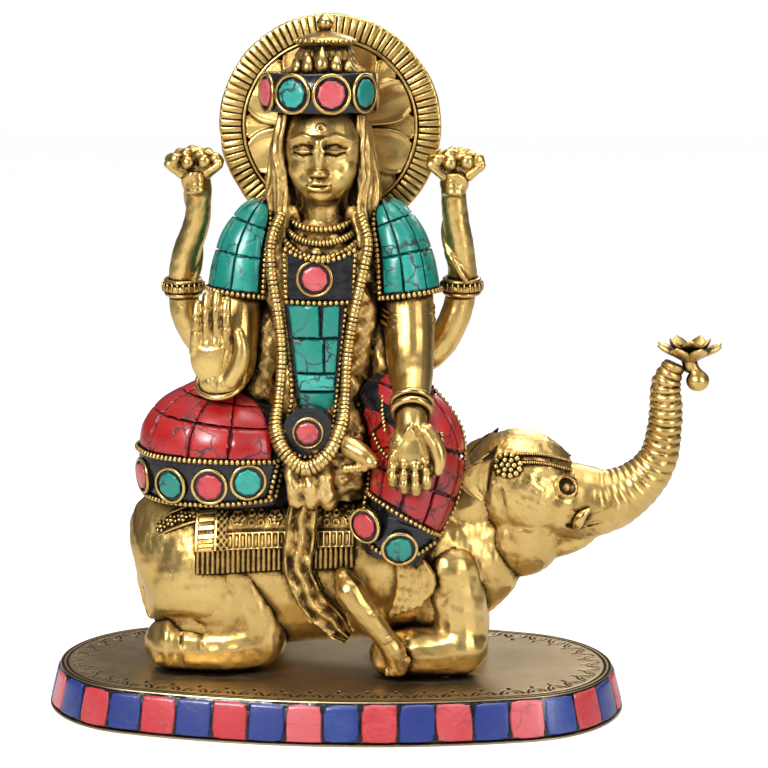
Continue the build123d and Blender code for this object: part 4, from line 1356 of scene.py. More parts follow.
# crown

crownLook = {"bandRadius": 18.6, "bandLow": 207.4, "bandHigh": 220.4, "middle": (figureX - 0.9, -4.2),
             "beads": 26}


def turnedPiece(profile, centre, steps=96):
    bpy.ops.object.select_all(action="DESELECT")
    bpy.ops.mesh.primitive_plane_add(size=mm, location=(0, 0, 0))
    piece = bpy.context.object
    mesh = bpy.data.meshes.new("profile")
    line = [((centre[0] + r) * mm, centre[1] * mm, z * mm) for r, z in profile]
    mesh.from_pydata(line, [(i, i + 1) for i in range(len(line) - 1)], [])
    piece.data = mesh
    pick(piece)
    bpy.ops.object.mode_set(mode="EDIT")
    bpy.ops.mesh.select_all(action="SELECT")
    bpy.ops.mesh.spin(
        steps=steps, angle=math.radians(360), center=(centre[0] * mm, centre[1] * mm, 0), axis=(0, 0, 1)
    )
    bpy.ops.mesh.select_all(action="SELECT")
    bpy.ops.mesh.remove_doubles(threshold=0.00002)
    bpy.ops.mesh.normals_make_consistent(inside=False)
    bpy.ops.object.mode_set(mode="OBJECT")
    return piece


def makeCrown():
    look = crownLook
    r, low, high = look["bandRadius"], look["bandLow"], look["bandHigh"]
    band = turnedPiece(
        [(r - 4.5, low + 0.4), (r - 0.9, low), (r - 0.15, low + 0.6), (r + 0.1, (low + high) / 2),
         (r - 0.15, high - 0.6),
         (r - 0.9, high), (r - 5.5, high - 0.2), (r - 4.5, low + 0.4)], look["middle"], 120)
    sculpt(band, wobble(0.12, 2.0, 30))
    finishPiece(band, "crown_band_resin", resinFinish, ("crown_band",), angle=60, shadeAndPatina=False)
    centre = (figureX + 1, -4)
    cap = turnedPiece(
        [(0, 218.6), (15.0, 218.8), (14.6, 220.0), (12.0, 221.2), (10.4, 223.6), (9.4, 226.2), (8.4, 228.0),
         (7.8, 228.8),
         (9.4, 229.4), (10.2, 230.2), (10.2, 231.0), (8.8, 232.0), (6.0, 232.9), (3.2, 233.5), (2.0, 234.2),
         (0, 234.2)],
        centre, 144)
    applyModifier(cap, "SUBSURF", levels=1, render_levels=1)
    def scales(p):
        around = np.arctan2(p[:, 0] - centre[0], -(p[:, 1] - centre[1]))
        tall = (p[:, 2] - 220.5) / 2.7
        row = np.floor(tall)
        turn = around * 12 / math.pi + 0.5 * (row % 2)
        u = (turn % 1.0) - 0.5
        w = tall - row
        leaf = 1 - np.clip(np.hypot(u * 2, w * 0.95), 0, 1)
        return (0.15 + 0.7 * leaf) * (p[:, 2] > 220.6) * (p[:, 2] < 228.6)
    sculpt(cap, scales, wobble(0.15, 1.0, 31))
    finishPiece(cap, "crown_cap_cast", castFinish, ("crown_cap",), angle=60)
    bead = addBall((0, 0, 0), 0.72, parts=(8, 6))
    places = []
    for k in range(look["beads"]):
        a = 2 * math.pi * k / look["beads"]
        places.append(((centre[0] + 10.1 * math.cos(a), centre[1] + 10.1 * math.sin(a), 230.7), 1.0, None))
    row = copies(bead, places, "tierBeads")
    discard(bead)
    petals = []
    for shift, tall, wide in ((0, 9.6, 2.3), (-4.6, 7.4, 2.1), (4.6, 7.4, 2.1), (-8.4, 5.2, 1.9),
                              (8.4, 5.2, 1.9)):
        x = centre[0] + shift
        y = centre[1] - math.sqrt(12.4**2 - shift**2)
        petals.append(addBody([(x, y + 0.4, 219.4), (x, y - 1.2, 219.4 + tall * 0.35),
                               (x, y - 0.4, 219.4 + tall * 0.7),
                               (x, y + 1.6, 219.4 + tall)],
                               [(wide * 0.8, 1.4), (wide, 1.7), (wide * 0.65, 1.2), (0.2, 0.2)],
                              22, 18, side=(1, 0, 0)))
    bud = joinUp([row, *petals], "crownTrim")
    finishPiece(bud, "crown_trim", brightFinish)
    finial = turnedPiece(
        [(0, 233.0), (2.1, 233.1), (1.7, 234.2), (2.3, 234.8), (2.9, 236.0), (2.95, 237.0), (2.3, 238.2),
         (1.1, 239.0),
         (0.7, 239.6), (0, 239.9)], centre, 40)
    applyModifier(finial, "SUBSURF", levels=2, render_levels=2)
    finishPiece(finial, "crown_finial_cast", brightFinish, ("crown_finial",), angle=0)


# halo

haloLook = {
    "middle": (-19.6, 201.0), "radius": 38.4, "rim": 29.8, "front": 14.0, "back": 18.2, "ribs": 92,
    "petals": 8,
    "around": 1104, "rings": 74,
}


def haloLift(r, theta):
    look = haloLook
    lift = np.zeros_like(theta)
    if r > look["rim"] + 0.9:
        rib = np.abs(np.sin(theta * look["ribs"] / 2 + 0.12 * np.sin(theta * 13)))
        share = (r - look["rim"] - 0.9) / (look["radius"] - look["rim"] - 0.9)
        body = 0.5 + 0.8 * math.sqrt(max(0.0, 1 - (2 * share - 0.85) ** 2 * 0.75))
        return body - 0.7 * (1 - rib) ** 3.0 * min(1.0, 6 * (1 - share) + 0.1)
    if r > look["rim"] - 0.9:
        return lift + 1.25 * math.sqrt(max(0.0, 1 - ((r - look["rim"]) / 0.95) ** 2)) - 0.1
    share = r / look["rim"]
    for offset, reach, wide, tall in ((0.5, 1.0, 0.42, 0.6), (0.0, 1.03, 0.49, 1.2)):
        turn = (theta * look["petals"] / (2 * math.pi) + offset) % 1.0 - 0.5
        across = np.abs(turn) / wide
        past = min(1.0, max(0.0, (share - 0.55) / (reach - 0.55)))
        limit = math.sqrt(1 - past**2.4)
        inside = across < limit
        near = np.clip(across / max(limit, 0.05), 0, 1)
        edge = np.exp(-(((near - 0.86) / 0.13) ** 2))
        shape = tall + 0.4 * edge + 0.25 * (1 - near) - 0.5 * np.clip((near - 0.93) / 0.07, 0, 1)
        lift = np.where(inside, np.maximum(lift, shape), lift)
    return lift - 1.2 * (lift <= 0.0)


def makeHalo():
    look = haloLook
    theta = np.linspace(0, 2 * math.pi, look["around"], endpoint=False)
    rows, hollow = [], []
    radii = np.concatenate([
        np.linspace(look["radius"] - 0.15, look["rim"] + 1.0, 22),
        np.linspace(look["rim"] + 0.85, look["rim"] - 0.95, 9),
        np.linspace(look["rim"] - 1.3, 1.0, look["rings"] - 22 - 9)])
    mx, mz = look["middle"]
    # dark: painted shade, flat over the back and deeper in the low parts of the front relief
    def addRing(r, y, dark):
        rows.append(np.stack([mx + r * np.cos(theta), y + 0 * theta, mz + r * np.sin(theta)], axis=1))
        hollow.append(np.clip(dark + 0 * theta, 0, 1))
    for r in np.linspace(0.5, look["radius"] - 1.0, 16):
        addRing(r, look["back"], 0.2)
    addRing(look["radius"] - 0.2, look["back"] - 0.6, 0.1)
    addRing(look["radius"], look["back"] - 1.6, 0.1)
    addRing(look["radius"], look["front"] + 0.8, 0.1)
    for r in radii:
        lift = haloLift(float(r), theta)
        addRing(float(r), look["front"] + 1.2 - lift, 0.5 - lift * 0.8)
    halo = skin(rows)
    paintNumber(halo, "given_painted_shade", np.concatenate(hollow))
    faceOut(halo)
    sculpt(halo, wobble(0.22, 2.4, 33))
    finishPiece(halo, "halo_cast", castFinish, ("halo_disc", "halo_lotus"), angle=60)


# arms and hands

def addLotus(middle, low, high, spread, count):
    bits = [addLimb([(middle[0], middle[1], low - 1), (middle[0], middle[1], low + 2.4)], [2.2, 3.0])]
    for ring, (share, tall, tilt) in enumerate(((1.0, 0.75, 0.0), (0.62, 1.0, 0.5))):
        number = count if ring == 0 else max(4, count - 3)
        for k in range(number):
            a = 2 * math.pi * (k + tilt) / number + 0.3
            out = np.array([math.cos(a), math.sin(a), 0])
            base = np.array([middle[0], middle[1], low + 1.0])
            top = low + (high - low) * tall
            line = [base + out * 1.2, base + out * spread * share * 0.42 + [0, 0, (top - low) * 0.34],
                    base + out * spread * share * 0.78 + [0, 0, (top - low) * 0.72 - 0.6],
                    base + out * spread * share * 0.99 + [0, 0, top - low - 1.0]]
            bits.append(addBody(line, [(1.5, 0.8), (3.0, 0.95), (3.1, 0.85), (0.5, 0.35)], 16, 14,
                                side=(-out[1], out[0], 0)))
    core = [addBall((middle[0], middle[1], low + (high - low) * 0.55), (spread * 0.26, spread * 0.26, 1.6))]
    return joinUp(bits + core, "lotus")


armLook = {
    "rightLine": [(-49, 8, 121), (-60, 8, 124), (-68.2, 8, 133), (-70.4, 8, 146), (-69.2, 6, 156),
                  (-64.8, 4.2, 169),
                  (-63.4, 3, 181)],
    "leftLine": [(8, 8, 120), (16.4, 8, 124), (23.2, 8, 134), (26.4, 8, 147), (26.1, 6, 158),
                 (24.2, 4, 171), (23.4, 3, 182)],
    "sizes": [5.6, 5.6, 5.4, 5.2, 4.9, 4.5, 4.2], "grain": 0.5,
}


def addFist(centre, facing):
    x, y, z = centre
    bits = [addBall((x, y, z), (5.0, 4.2, 4.6)), addBall((x - facing * 0.5, y, z + 4.4), (7.2, 4.6, 3.0))]
    for k in range(4):
        fz = z + 2.9 - k * 1.9
        bits.append(addLimb([(x + facing * 3.4, y - 1.2, fz), (x + facing * 1.2, y - 4.3, fz + 0.2),
                             (x - facing * 2.0, y - 4.0, fz)], [1.15, 1.2, 1.05], sides=3, steps=5))
    bits.append(addLimb([(x - facing * 3.2, y - 1.5, z - 1.5), (x - facing * 3.4, y - 3.6, z + 1.5),
                         (x - facing * 1.0, y - 4.8, z + 3.2)],
                        [1.4, 1.4, 1.1], sides=3, steps=5))
    return bits


def addKnobs(middle, low, facing):
    # a bunched flower: curled petals as round-ended lobes about the fist
    bits = [addBall((middle[0], middle[1], low + 2.2), (7.4, 4.6, 3.2))]
    for share, lift, size, count in ((1.0, 4.6, 2.3, 9), (0.62, 6.6, 2.1, 7), (0.2, 7.2, 2.1, 3)):
        for k in range(count):
            a = 2 * math.pi * k / count + share
            x = middle[0] + 8.0 * share * math.cos(a)
            y = middle[1] + 4.8 * share * math.sin(a)
            bits.append(addBall((x, y, low + lift + 0.5 * math.sin(k * 2.1)),
                                (size, size * 0.8, size * 1.05)))
    for k in (-1, 1):
        bits.append(addLimb([(middle[0] + k * 4, middle[1] - 2, low),
                             (middle[0] + k * 8.6, middle[1] - 2.6, low + 3.4)],
                            [2.0, 1.7], sides=3, steps=4))
    bloom = fuse(bits, 0.45, 2)
    sculpt(bloom, wobble(0.25, 1.2, 38 + facing))
    return bloom


def makeRaisedArms():
    look = armLook
    for name, line, facing, flower in (
        ("raised_arm_right", look["rightLine"], 1, (-64.4, 2.0)),
        ("raised_arm_left", look["leftLine"], -1, (23.8, 2.0))
    ):
        bits = [addLimb(line, look["sizes"], sides=8, steps=12)]
        bits += addFist((flower[0], 2.6, 182.6), facing)
        stem = []
        for k in range(15):
            share = k / 14
            spot = bend(np.array(line[3:], float), 15)[k]
            turn = 0.6 + 4.4 * share * facing
            radius = 5.4 - 1.2 * share
            stem.append((spot[0] + radius * math.sin(turn), spot[1] - radius * math.cos(turn), spot[2]))
        bits.append(addLimb(stem, [1.25] * 15, sides=3, steps=4))
        bits.append(addBody([(stem[6][0], stem[6][1] - 0.6, stem[6][2]),
                             (stem[6][0] - facing * 1.5, stem[6][1] - 1.2, stem[6][2] - 4),
                             (stem[6][0] - facing * 1.0, stem[6][1] - 0.4, stem[6][2] - 8)],
                             [(0.8, 0.6), (2.0, 0.9), (0.3, 0.3)],
                            14, 12, side=(1, 0, 0)))
        arm = fuse(bits, look["grain"], 3)
        sculpt(arm, wobble(0.12, 2.0, 36), wobble(0.06, 0.8, 37))
        finishPiece(arm, name + "_cast", castFinish, (name,), angle=0)
    blooms = joinUp([addKnobs((-64.8, 2.0), 185.6, 1), addKnobs((24.4, 2.0), 185.6, -1)], "blooms")
    finishPiece(blooms, "held_lotus_pair", softFinish, ("held_lotuses",), angle=50)
    tip = addLotus((104.4, 0), 121.8, 130.6, 11.6, 8)
    bud = [addBall((107.4, -0.5, 116.0), (4.0, 3.6, 3.7)),
           addLimb([(104.6, 0, 123), (106, -0.3, 120), (107, -0.4, 118)], [2.4, 2.0, 2.6])]
    finishPiece(joinUp([tip, fuse(bud, 0.5, 3)], "trunkLotus"), "trunk_lotus_cast", softFinish,
                ("trunk_lotus",), angle=50)


def addRing(centre, along, radius, wire, sides=28):
    frameOf = basis(along, (0, 1, 0.1))
    line = []
    for k in range(sides + 1):
        a = 2 * math.pi * k / sides
        spot = np.array(centre) + frameOf[0] * radius * math.cos(a) + frameOf[1] * radius * math.sin(a)
        line.append(tuple(spot))
    return addLimb(line, [wire] * len(line), sides=3, steps=2, ends=False)


def makeBangles():
    bits = []
    for line in (armLook["rightLine"], armLook["leftLine"]):
        middle = np.array(line[3], float)
        for lift, wire, grow in ((-2.2, 0.9, 0.1), (0.0, 1.5, 0.2), (2.2, 0.9, 0.1)):
            bits.append(addRing(middle + (0, -0.1 * lift, lift), (0.0, -0.1, 1), 5.7 + grow, wire))
        ribs = addBall((0, 0, 0), (0.5, 0.5, 1.7), parts=(6, 6))
        places = []
        for k in range(22):
            a = 2 * math.pi * k / 22
            places.append(((middle[0] + 7.2 * math.cos(a), middle[1] + 7.2 * math.sin(a), middle[2]), 1.0,
                           None))
        bits.append(copies(ribs, places, "ribs"))
        discard(ribs)
    for z, wire in ((141.4, 0.55), (139.6, 0.55), (137.2, 0.8)):
        y = -4.6 - (141.4 - z) * 0.25
        bits.append(addRing((8.4, y, z), (0.05, -0.25, 1), 8.9, wire))
    finishPiece(joinUp(bits, "armlets"), "armlet_set", brightFinish, ("armlets",), angle=60)
    bits = [addRing((11.0, -28.6, 112.4), (0.03, -0.75, -0.6), 6.3, 1.2),
            addRing((11.1, -31.0, 110.2), (0.03, -0.75, -0.6), 6.0, 1.2)]
    bits.append(addRing((-53.4, -23.2, 118.4), (-0.1, -0.55, 0.8), 8.0, 1.1))
    finishPiece(joinUp(bits, "bracelets"), "bracelet_set", brightFinish, ("bracelets",), angle=60)


handLook = {
    "fingerTops": [(-60.6, 146.4), (-57.3, 149.2), (-54.0, 150.0), (-50.8, 147.8)],
    "fingerFeet": [(5.2, 85.6), (8.9, 83.2), (12.7, 82.6), (16.3, 84.6)],
    "grain": 0.4,
}


def makeFrontArms():
    look = handLook
    bits = [addLimb([(-46, -1, 158), (-49, -3, 146), (-50.4, -8, 131), (-50.6, -13, 122),
                     (-52.6, -20, 118.6), (-53.4, -24, 120)],
                    [8.0, 8.6, 8.2, 7.4, 6.4, 5.8], sides=10, steps=14)]
    bits.append(addBall((-54.5, -27.2, 127.5), (8.6, 3.8, 11.0)))
    bits.append(addBall((-53.0, -26.5, 118.5), (7.2, 4.4, 5.6)))
    for k, (x, top) in enumerate(look["fingerTops"]):
        root = -54.6 + (x + 54.6) * 1.12
        bits.append(addLimb([(root, -27.6, 129), (x, -28.6, 137), (x + 0.1, -28.4, top - 4.6),
                             (x + 0.3, -27.6, top - 1.8)],
                            [2.15, 1.95, 1.85, 1.7], sides=5))
    bits.append(addLimb([(-49.5, -28.2, 119.5), (-46.6, -29.4, 125), (-45.6, -29.6, 130.5),
                         (-46.6, -29.2, 135.5)], [3.4, 3.3, 2.7, 2.1]))
    hand = fuse(bits, look["grain"], 4)
    marks = []
    for x, top in look["fingerTops"]:
        for z in (top - 5.6, top - 10.4):
            marks.append(stroke([(x - 1.9, -30.2, z), (x + 1.9, -30.2, z)], -0.45, 0.42))
    marks.append(stroke([(-54.6, -31, 114), (-54.4, -31.2, 119), (-52, -31.4, 124), (-50.8, -31, 130)],
                        -0.8, 0.7))
    marks.append(stroke([(-62, -30.4, 131.6), (-57, -31, 130.6), (-52, -31, 131.4)], -0.45, 0.5))
    marks.append(stroke([(-60, -30.6, 124), (-56.5, -31, 120), (-55, -31, 117)], -0.4, 0.6))
    for a, b in zip(look["fingerTops"][:-1], look["fingerTops"][1:]):
        x = (a[0] + b[0]) / 2
        marks.append(stroke([(x, -30.6, 131.5), (x, -30.2, 145.6)], -0.5, 0.5))
    sculpt(hand, *marks, wobble(0.1, 1.8, 40))
    finishPiece(hand, "front_arm_right_cast", castFinish, ("front_arm_right",), angle=0)
    bits = [addLimb([(5.6, -1, 160), (8.0, -3, 147), (9.2, -8, 132), (10.0, -15, 120), (10.8, -25, 113),
                     (11.2, -31, 109), (11.3, -34, 104)],
                    [8.0, 8.7, 8.6, 7.6, 6.0, 5.2, 5.0], sides=10, steps=14)]
    bits.append(addBall((11.2, -35.4, 98.4), (7.4, 3.6, 9.6), (-6, 0, 0)))
    for x, low in look["fingerFeet"]:
        root = 11.0 + (x - 11.0) * 0.9
        bits.append(addLimb([(root, -36.4, 97), (x, -37.8, 92), (x, -38.4, low + 3.6),
                             (x, -37.8, low + 2.0)], [2.0, 2.0, 2.0, 1.9], sides=4))
    bits.append(addLimb([(16.2, -35.6, 104.2), (19.4, -37, 99.8), (20.6, -38, 95.6), (20.0, -38.2, 91.6)],
                        [2.9, 2.8, 2.4, 1.8]))
    hand = fuse(bits, look["grain"], 3)
    marks = []
    for x, low in look["fingerFeet"]:
        for z in (low + 3.9, low + 7.4, low + 10.6):
            marks.append(dab((x, -39.8, z), 0.55, (1.4, 3, 1.2)))
        for z in (low + 5.6, low + 9.0):
            marks.append(stroke([(x - 1.7, -39.4, z), (x + 1.7, -39.4, z)], -0.5, 0.4))
    marks.append(stroke([(11.4, -38.4, 107), (7.4, -39, 101), (4.6, -39, 95.6)], 0.6, 0.7))
    marks.append(stroke([(12.6, -38.4, 106), (14.6, -39.2, 101), (16.4, -39.4, 96)], -0.7, 0.7))
    sculpt(hand, *marks, wobble(0.1, 1.8, 42))
    finishPiece(hand, "front_arm_left_cast", castFinish, ("front_arm_left",), angle=0)


makeTorso()
makeHeadOfDeity()
makeHair()
makeCrown()
makeHalo()
makeRaisedArms()
makeBangles()
makeFrontArms()
print("figure ready")


# dress: stone mosaic on resin beds, bead wires and cabochons

class Wrap:
    # a smooth body's surface, read by how far along it and which way round
    def __init__(self, line, sizes, side):
        self.spots = bend(np.hstack([np.array(line, float), np.array(sizes, float)]), 120)
        self.frames = []
        for i in range(120):
            along = self.spots[min(i + 1, 119)][:3] - self.spots[max(i - 1, 0)][:3]
            along /= np.linalg.norm(along)
            first = np.array(side, float) - along * np.dot(side, along)
            first /= np.linalg.norm(first)
            self.frames.append((first, np.cross(along, first)))

    def at(self, share, angle, lift=0.0):
        place = min(118.999, max(0.0, share * 119))
        i = int(place)
        t = place - i
        spot = self.spots[i] * (1 - t) + self.spots[i + 1] * t
        first = self.frames[i][0] * (1 - t) + self.frames[i + 1][0] * t
        second = self.frames[i][1] * (1 - t) + self.frames[i + 1][1] * t
        a = math.radians(angle)
        return spot[:3] + first * math.cos(a) * (spot[3] + lift) + second * math.sin(a) * (spot[4] + lift)

    def shareAt(self, z):
        heights = self.spots[:, 2]
        order = np.argsort(heights)
        return float(np.interp(z, heights[order], order / 119))


def tilePatch(wrap, corners, tone, dice, proud=1.0, cells=12, jitter=0.7):
    # corners: (share, angle) in order round the tile
    grid, edges = [], []
    (s0, a0), (s1, a1), (s2, a2), (s3, a3) = [
        (s + dice.uniform(-0.005, 0.005), a + dice.uniform(-jitter, jitter)) for s, a in corners
    ]
    slots = [0.0, 0.012, 0.05, 0.12, *np.linspace(0.2, 0.8, cells - 5), 0.88, 0.95, 0.988, 1.0]
    phase = dice.uniform(0, 6.28)
    for v in slots:
        row = []
        for u in slots:
            share = (s0 * (1 - u) + s1 * u) * (1 - v) + (s3 * (1 - u) + s2 * u) * v
            angle = (a0 * (1 - u) + a1 * u) * (1 - v) + (a3 * (1 - u) + a2 * u) * v
            near = min(u, 1 - u, v, 1 - v)
            ragged = 0.012 * math.sin(17 * (u - v) + phase) + 0.01 * math.sin(31 * (u + v) + phase)
            rise = min(1.0, max(0.0, near + ragged * (near > 0)) / 0.035)
            lift = -1.15 + (1.15 + 0.18 * proud) * (1 - (1 - rise) ** 2.2)
            lift += 0.35 * math.sin(math.pi * u) * math.sin(math.pi * v)
            row.append(wrap.at(share, angle, lift))
            edges.append(max(0.0, 1 - near / 0.022) * 0.8)
        grid.append(row)
    return grid, edges, tone


def tilePiece(name, patches, slotName, stone, node):
    points, faces, tones, edges = [], [], [], []
    for grid, edge, tone in patches:
        size = len(grid)
        shift = len(points)
        for row in grid:
            points += [tuple(p * mm) for p in row]
        tones += [tone] * size * size
        edges += edge
        for r in range(size - 1):
            for c in range(size - 1):
                a = shift + r * size + c
                faces.append((a, a + 1, a + size + 1, a + size))
        ring = [c for c in range(size)] + [r * size + size - 1 for r in range(1, size)]
        ring += [(size - 1) * size + c for c in range(size - 2, -1,
                                                      -1)] + [r * size for r in range(size - 2, 0, -1)]
        faces.append(tuple(shift + k for k in ring[::-1]))
    mesh = bpy.data.meshes.new(name)
    mesh.from_pydata(points, [], faces)
    piece = bpy.data.objects.new(name, mesh)
    bpy.context.collection.objects.link(piece)
    paintNumber(piece, "tone", tones)
    paintNumber(piece, "edge", edges)
    pick(piece)
    bpy.ops.object.mode_set(mode="EDIT")
    bpy.ops.mesh.select_all(action="SELECT")
    bpy.ops.mesh.normals_make_consistent(inside=False)
    bpy.ops.object.mode_set(mode="OBJECT")
    return finishPiece(piece, name, (slotName, stone), (node,), angle=35, shadeAndPatina=False)


def tileGrid(wrap, shares, angles, dice, gap=0.3, slant=None):
    patches = []
    for s0, s1 in zip(shares[:-1], shares[1:]):
        for a0, a1 in zip(angles[:-1], angles[1:]):
            middle = wrap.at((s0 + s1) / 2, (a0 + a1) / 2)
            tall = np.linalg.norm(wrap.at(s1, a0) - wrap.at(s0, a0)) + 1e-6
            wide = np.linalg.norm(wrap.at((s0 + s1) / 2, a1) - wrap.at((s0 + s1) / 2, a0)) + 1e-6
            ds, da = gap / tall * (s1 - s0) / 2, gap / wide * (a1 - a0) / 2
            corners = [(s0 + ds, a0 + da), (s0 + ds, a1 - da), (s1 - ds, a1 - da), (s1 - ds, a0 + da)]
            if slant:
                corners = [(s + slant(s, a), a) for s, a in corners]
            patches.append(tilePatch(wrap, corners, dice.choice((0.12, 0.3, 0.42, 0.62)), dice))
    return patches


sleeveLook = {
    "line": [(-40.5, 0, 177.5), (-42.5, 0, 172), (-46.5, -1, 160), (-48.5, -2, 145)],
    "sizes": [(2.4, 4.5), (7, 8.6), (10.4, 11.8), (12, 13)],
    "shares": (0.03, 0.28, 0.60, 0.955), "angles": (56, 103, 141, 180, 220, 262, 300),
    "leftShares": (0.03, 0.24, 0.58, 0.955), "leftAngles": (56, 92, 133, 176, 220, 262, 300),
}


def mirrorLine(line):
    return [(2 * figureX - x, y, z) for x, y, z in line]


def makeSleeves():
    look = sleeveLook
    dice = random.Random(21)
    right = Wrap(look["line"], look["sizes"], (1, 0, 0))
    left = Wrap(mirrorLine(look["line"]), look["sizes"], (-1, 0, 0))
    for name, wrap, shares, angles in (
        ("sleeve_right", right, look["shares"], look["angles"]),
        ("sleeve_left", left, look["leftShares"], [-a for a in look["leftAngles"]]),
    ):
        patches = tileGrid(wrap, shares, angles, dice)
        tilePiece(name + "_mosaic", patches, "turquoise_stone", turquoiseStone, name + "_tiles")
    return right, left


thighLook = {
    "line": [(-53.6, -9, 77), (-53.4, -9, 90), (-52.4, -9, 100), (-51.4, -9, 107.6), (-50.6, -9, 112.4),
             (-49.8, -9, 114.4)],
    "sizes": [(28.0, 22.5), (30.2, 24.4), (28.6, 23.4), (22.6, 18.6), (14, 12), (5, 4)],
    "heights": (91.6, 103.4, 110.6, 113.8), "angles": (-54, -84, -111, -146, -186, -222, -262),
    "hem": (-52, -238), "hemHeights": (76.6, 91.2), "hemRise": 2.6,
}


def hemShare(angle):
    # 0 at the knee end, 1 at the inner end
    return min(1.0, max(0.0, (math.cos(math.radians(angle)) + 0.75) / 1.3))


def hemLine(angle):
    low, high = thighLook["hemHeights"]
    rise = thighLook["hemRise"] * hemShare(angle)
    return low + rise * 0.8 + 1.2 * (1 - math.sin(math.radians(-angle))), high + rise


def makeThigh():
    look = thighLook
    dice = random.Random(8)
    wrap = Wrap(look["line"], look["sizes"], (1, 0, 0))
    shares = [wrap.shareAt(z) for z in look["heights"]]
    def slant(share, angle):
        rise = look["hemRise"] * hemShare(angle) * max(0.0, 1 - (share - shares[0]) * 1.8)
        return rise / 36.0
    patches = tileGrid(wrap, shares, look["angles"], dice, 0.42, slant)
    tilePiece("thigh_mosaic", patches, "coral_red_stone", coralStone, "thigh_tiles")
    line = [(x, y, z) for x, y, z in look["line"]]
    core = addBody(line, [(a - 1.0, b - 1.0) for a, b in look["sizes"]], 50, 72, side=(1, 0, 0))
    points, _ = readPoints(core)
    points[:, 2] -= 0.9
    writePoints(core, points)
    sculpt(core, wobble(0.12, 2.0, 60))
    finishPiece(core, "thigh_bed", resinFinish, ("thigh_resin",), angle=0, shadeAndPatina=False)
    rows = []
    for angle in np.linspace(*look["hem"], 60):
        low, high = hemLine(angle)
        row = []
        for share in np.linspace(0, 1, 9):
            z = low + (high - low) * share
            puff = 0.35 * math.sin(math.pi * share) + 0.1
            row.append(wrap.at(wrap.shareAt(z), angle, puff))
        rows.append(row)
    hem = skin(rows, closed=False, caps=False)
    points, normals = readPoints(hem)
    outward = points - np.array((-53.0, -9.0, 84.0))
    if (normals * outward).sum() < 0:
        hem.data.flip_normals()
    applyModifier(hem, "SOLIDIFY", thickness=1.6 * mm, offset=-1.0)
    finishPiece(hem, "thigh_hem_resin", resinFinish, ("thigh_hem",), angle=60, shadeAndPatina=False)
    return wrap


shinLook = {
    "line": [(-4, -8, 114), (6, -13, 107), (12.5, -17.5, 95), (11, -21, 81), (7, -23, 68.5), (4.5, -25, 58)],
    "sizes": [(7, 8), (11.4, 13), (14.6, 15.6), (14.4, 14.6), (12.6, 12.6), (9.6, 9.6)],
    "shares": (0.06, 0.24, 0.42, 0.59, 0.745), "angles": (80, 118, 152, 190, 226, 262),
}


def makeShin():
    look = shinLook
    dice = random.Random(15)
    wrap = Wrap(look["line"], look["sizes"], (0, 1, 0))
    def slant(share, angle):
        return 0.042 * math.cos(math.radians(angle - 90)) * (share > 0.3)
    patches = tileGrid(wrap, look["shares"], look["angles"], dice, 0.6, slant)
    tilePiece("shin_mosaic", patches, "coral_red_stone", coralStone, "shin_tiles")
    return wrap


class FlatWrap:
    # a flat bed seen as a wrap: share runs down from the top edge, angle across from left to right
    def __init__(self, topZ, lowZ, topX, lowX, y):
        self.topZ, self.lowZ, self.topX, self.lowX, self.y = topZ, lowZ, topX, lowX, y

    def at(self, share, angle, lift=0.0):
        left = self.topX[0] + (self.lowX[0] - self.topX[0]) * share
        right = self.topX[1] + (self.lowX[1] - self.topX[1]) * share
        x = left + (right - left) * angle
        y = self.y - lift - 0.9 * math.sin(math.pi * min(1, max(0, angle)))
        return np.array((x, y, self.topZ + (self.lowZ - self.topZ) * share))


def makeSash():
    dice = random.Random(31)
    wrap = FlatWrap(143.8, 107.8, (-31.4, -13.2), (-27.4, -15.6), -18.9)
    patches = []
    for s0, s1, cuts in ((0.0, 0.32, (0, 0.63, 1)), (0.325, 0.655, (0, 0.70, 1)), (0.66, 0.82, (0, 1)),
                         (0.83, 1.0, (0, 1))):
        for a0, a1 in zip(cuts[:-1], cuts[1:]):
            corners = [(s0 + 0.006, a0 + 0.02), (s0 + 0.006, a1 - 0.02), (s1 - 0.006, a1 - 0.02),
                       (s1 - 0.006, a0 + 0.02)]
            jitter = [(s, a + dice.uniform(-0.012, 0.012)) for s, a in corners]
            tone = 1.05 if s0 == 0.66 else (0.02 if s0 == 0.83 else dice.choice((0.3, 0.45)))
            grid, edges, _ = tilePatch(wrap, jitter, tone, random.Random(int(s0 * 100 + a0 * 10)), 0.6,
                                       jitter=0.012)
            patches.append((grid, edges, tone))
    tilePiece("sash_mosaic", patches, "turquoise_stone", turquoiseStone, "sash_tiles")


# bead wires

beadLook = {"radius": 0.93, "step": 1.84}
bead = addBall((0, 0, 0), 1.0, parts=(9, 6))
bead.scale = (1, 1, 1)
beadPlaces = []


def beadRun(line, radius=None, closed=False):
    radius = radius or beadLook["radius"]
    length = lineLength(line)
    count = max(2, round(length / (radius * 2 * 0.985)))
    for spot in bend(np.array(line, float), count + 1)[: count if closed else count + 1]:
        beadPlaces.append((tuple(spot), radius, None))


def onWrap(wrap, spots, lift):
    return [tuple(wrap.at(share, angle, lift)) for share, angle in spots]


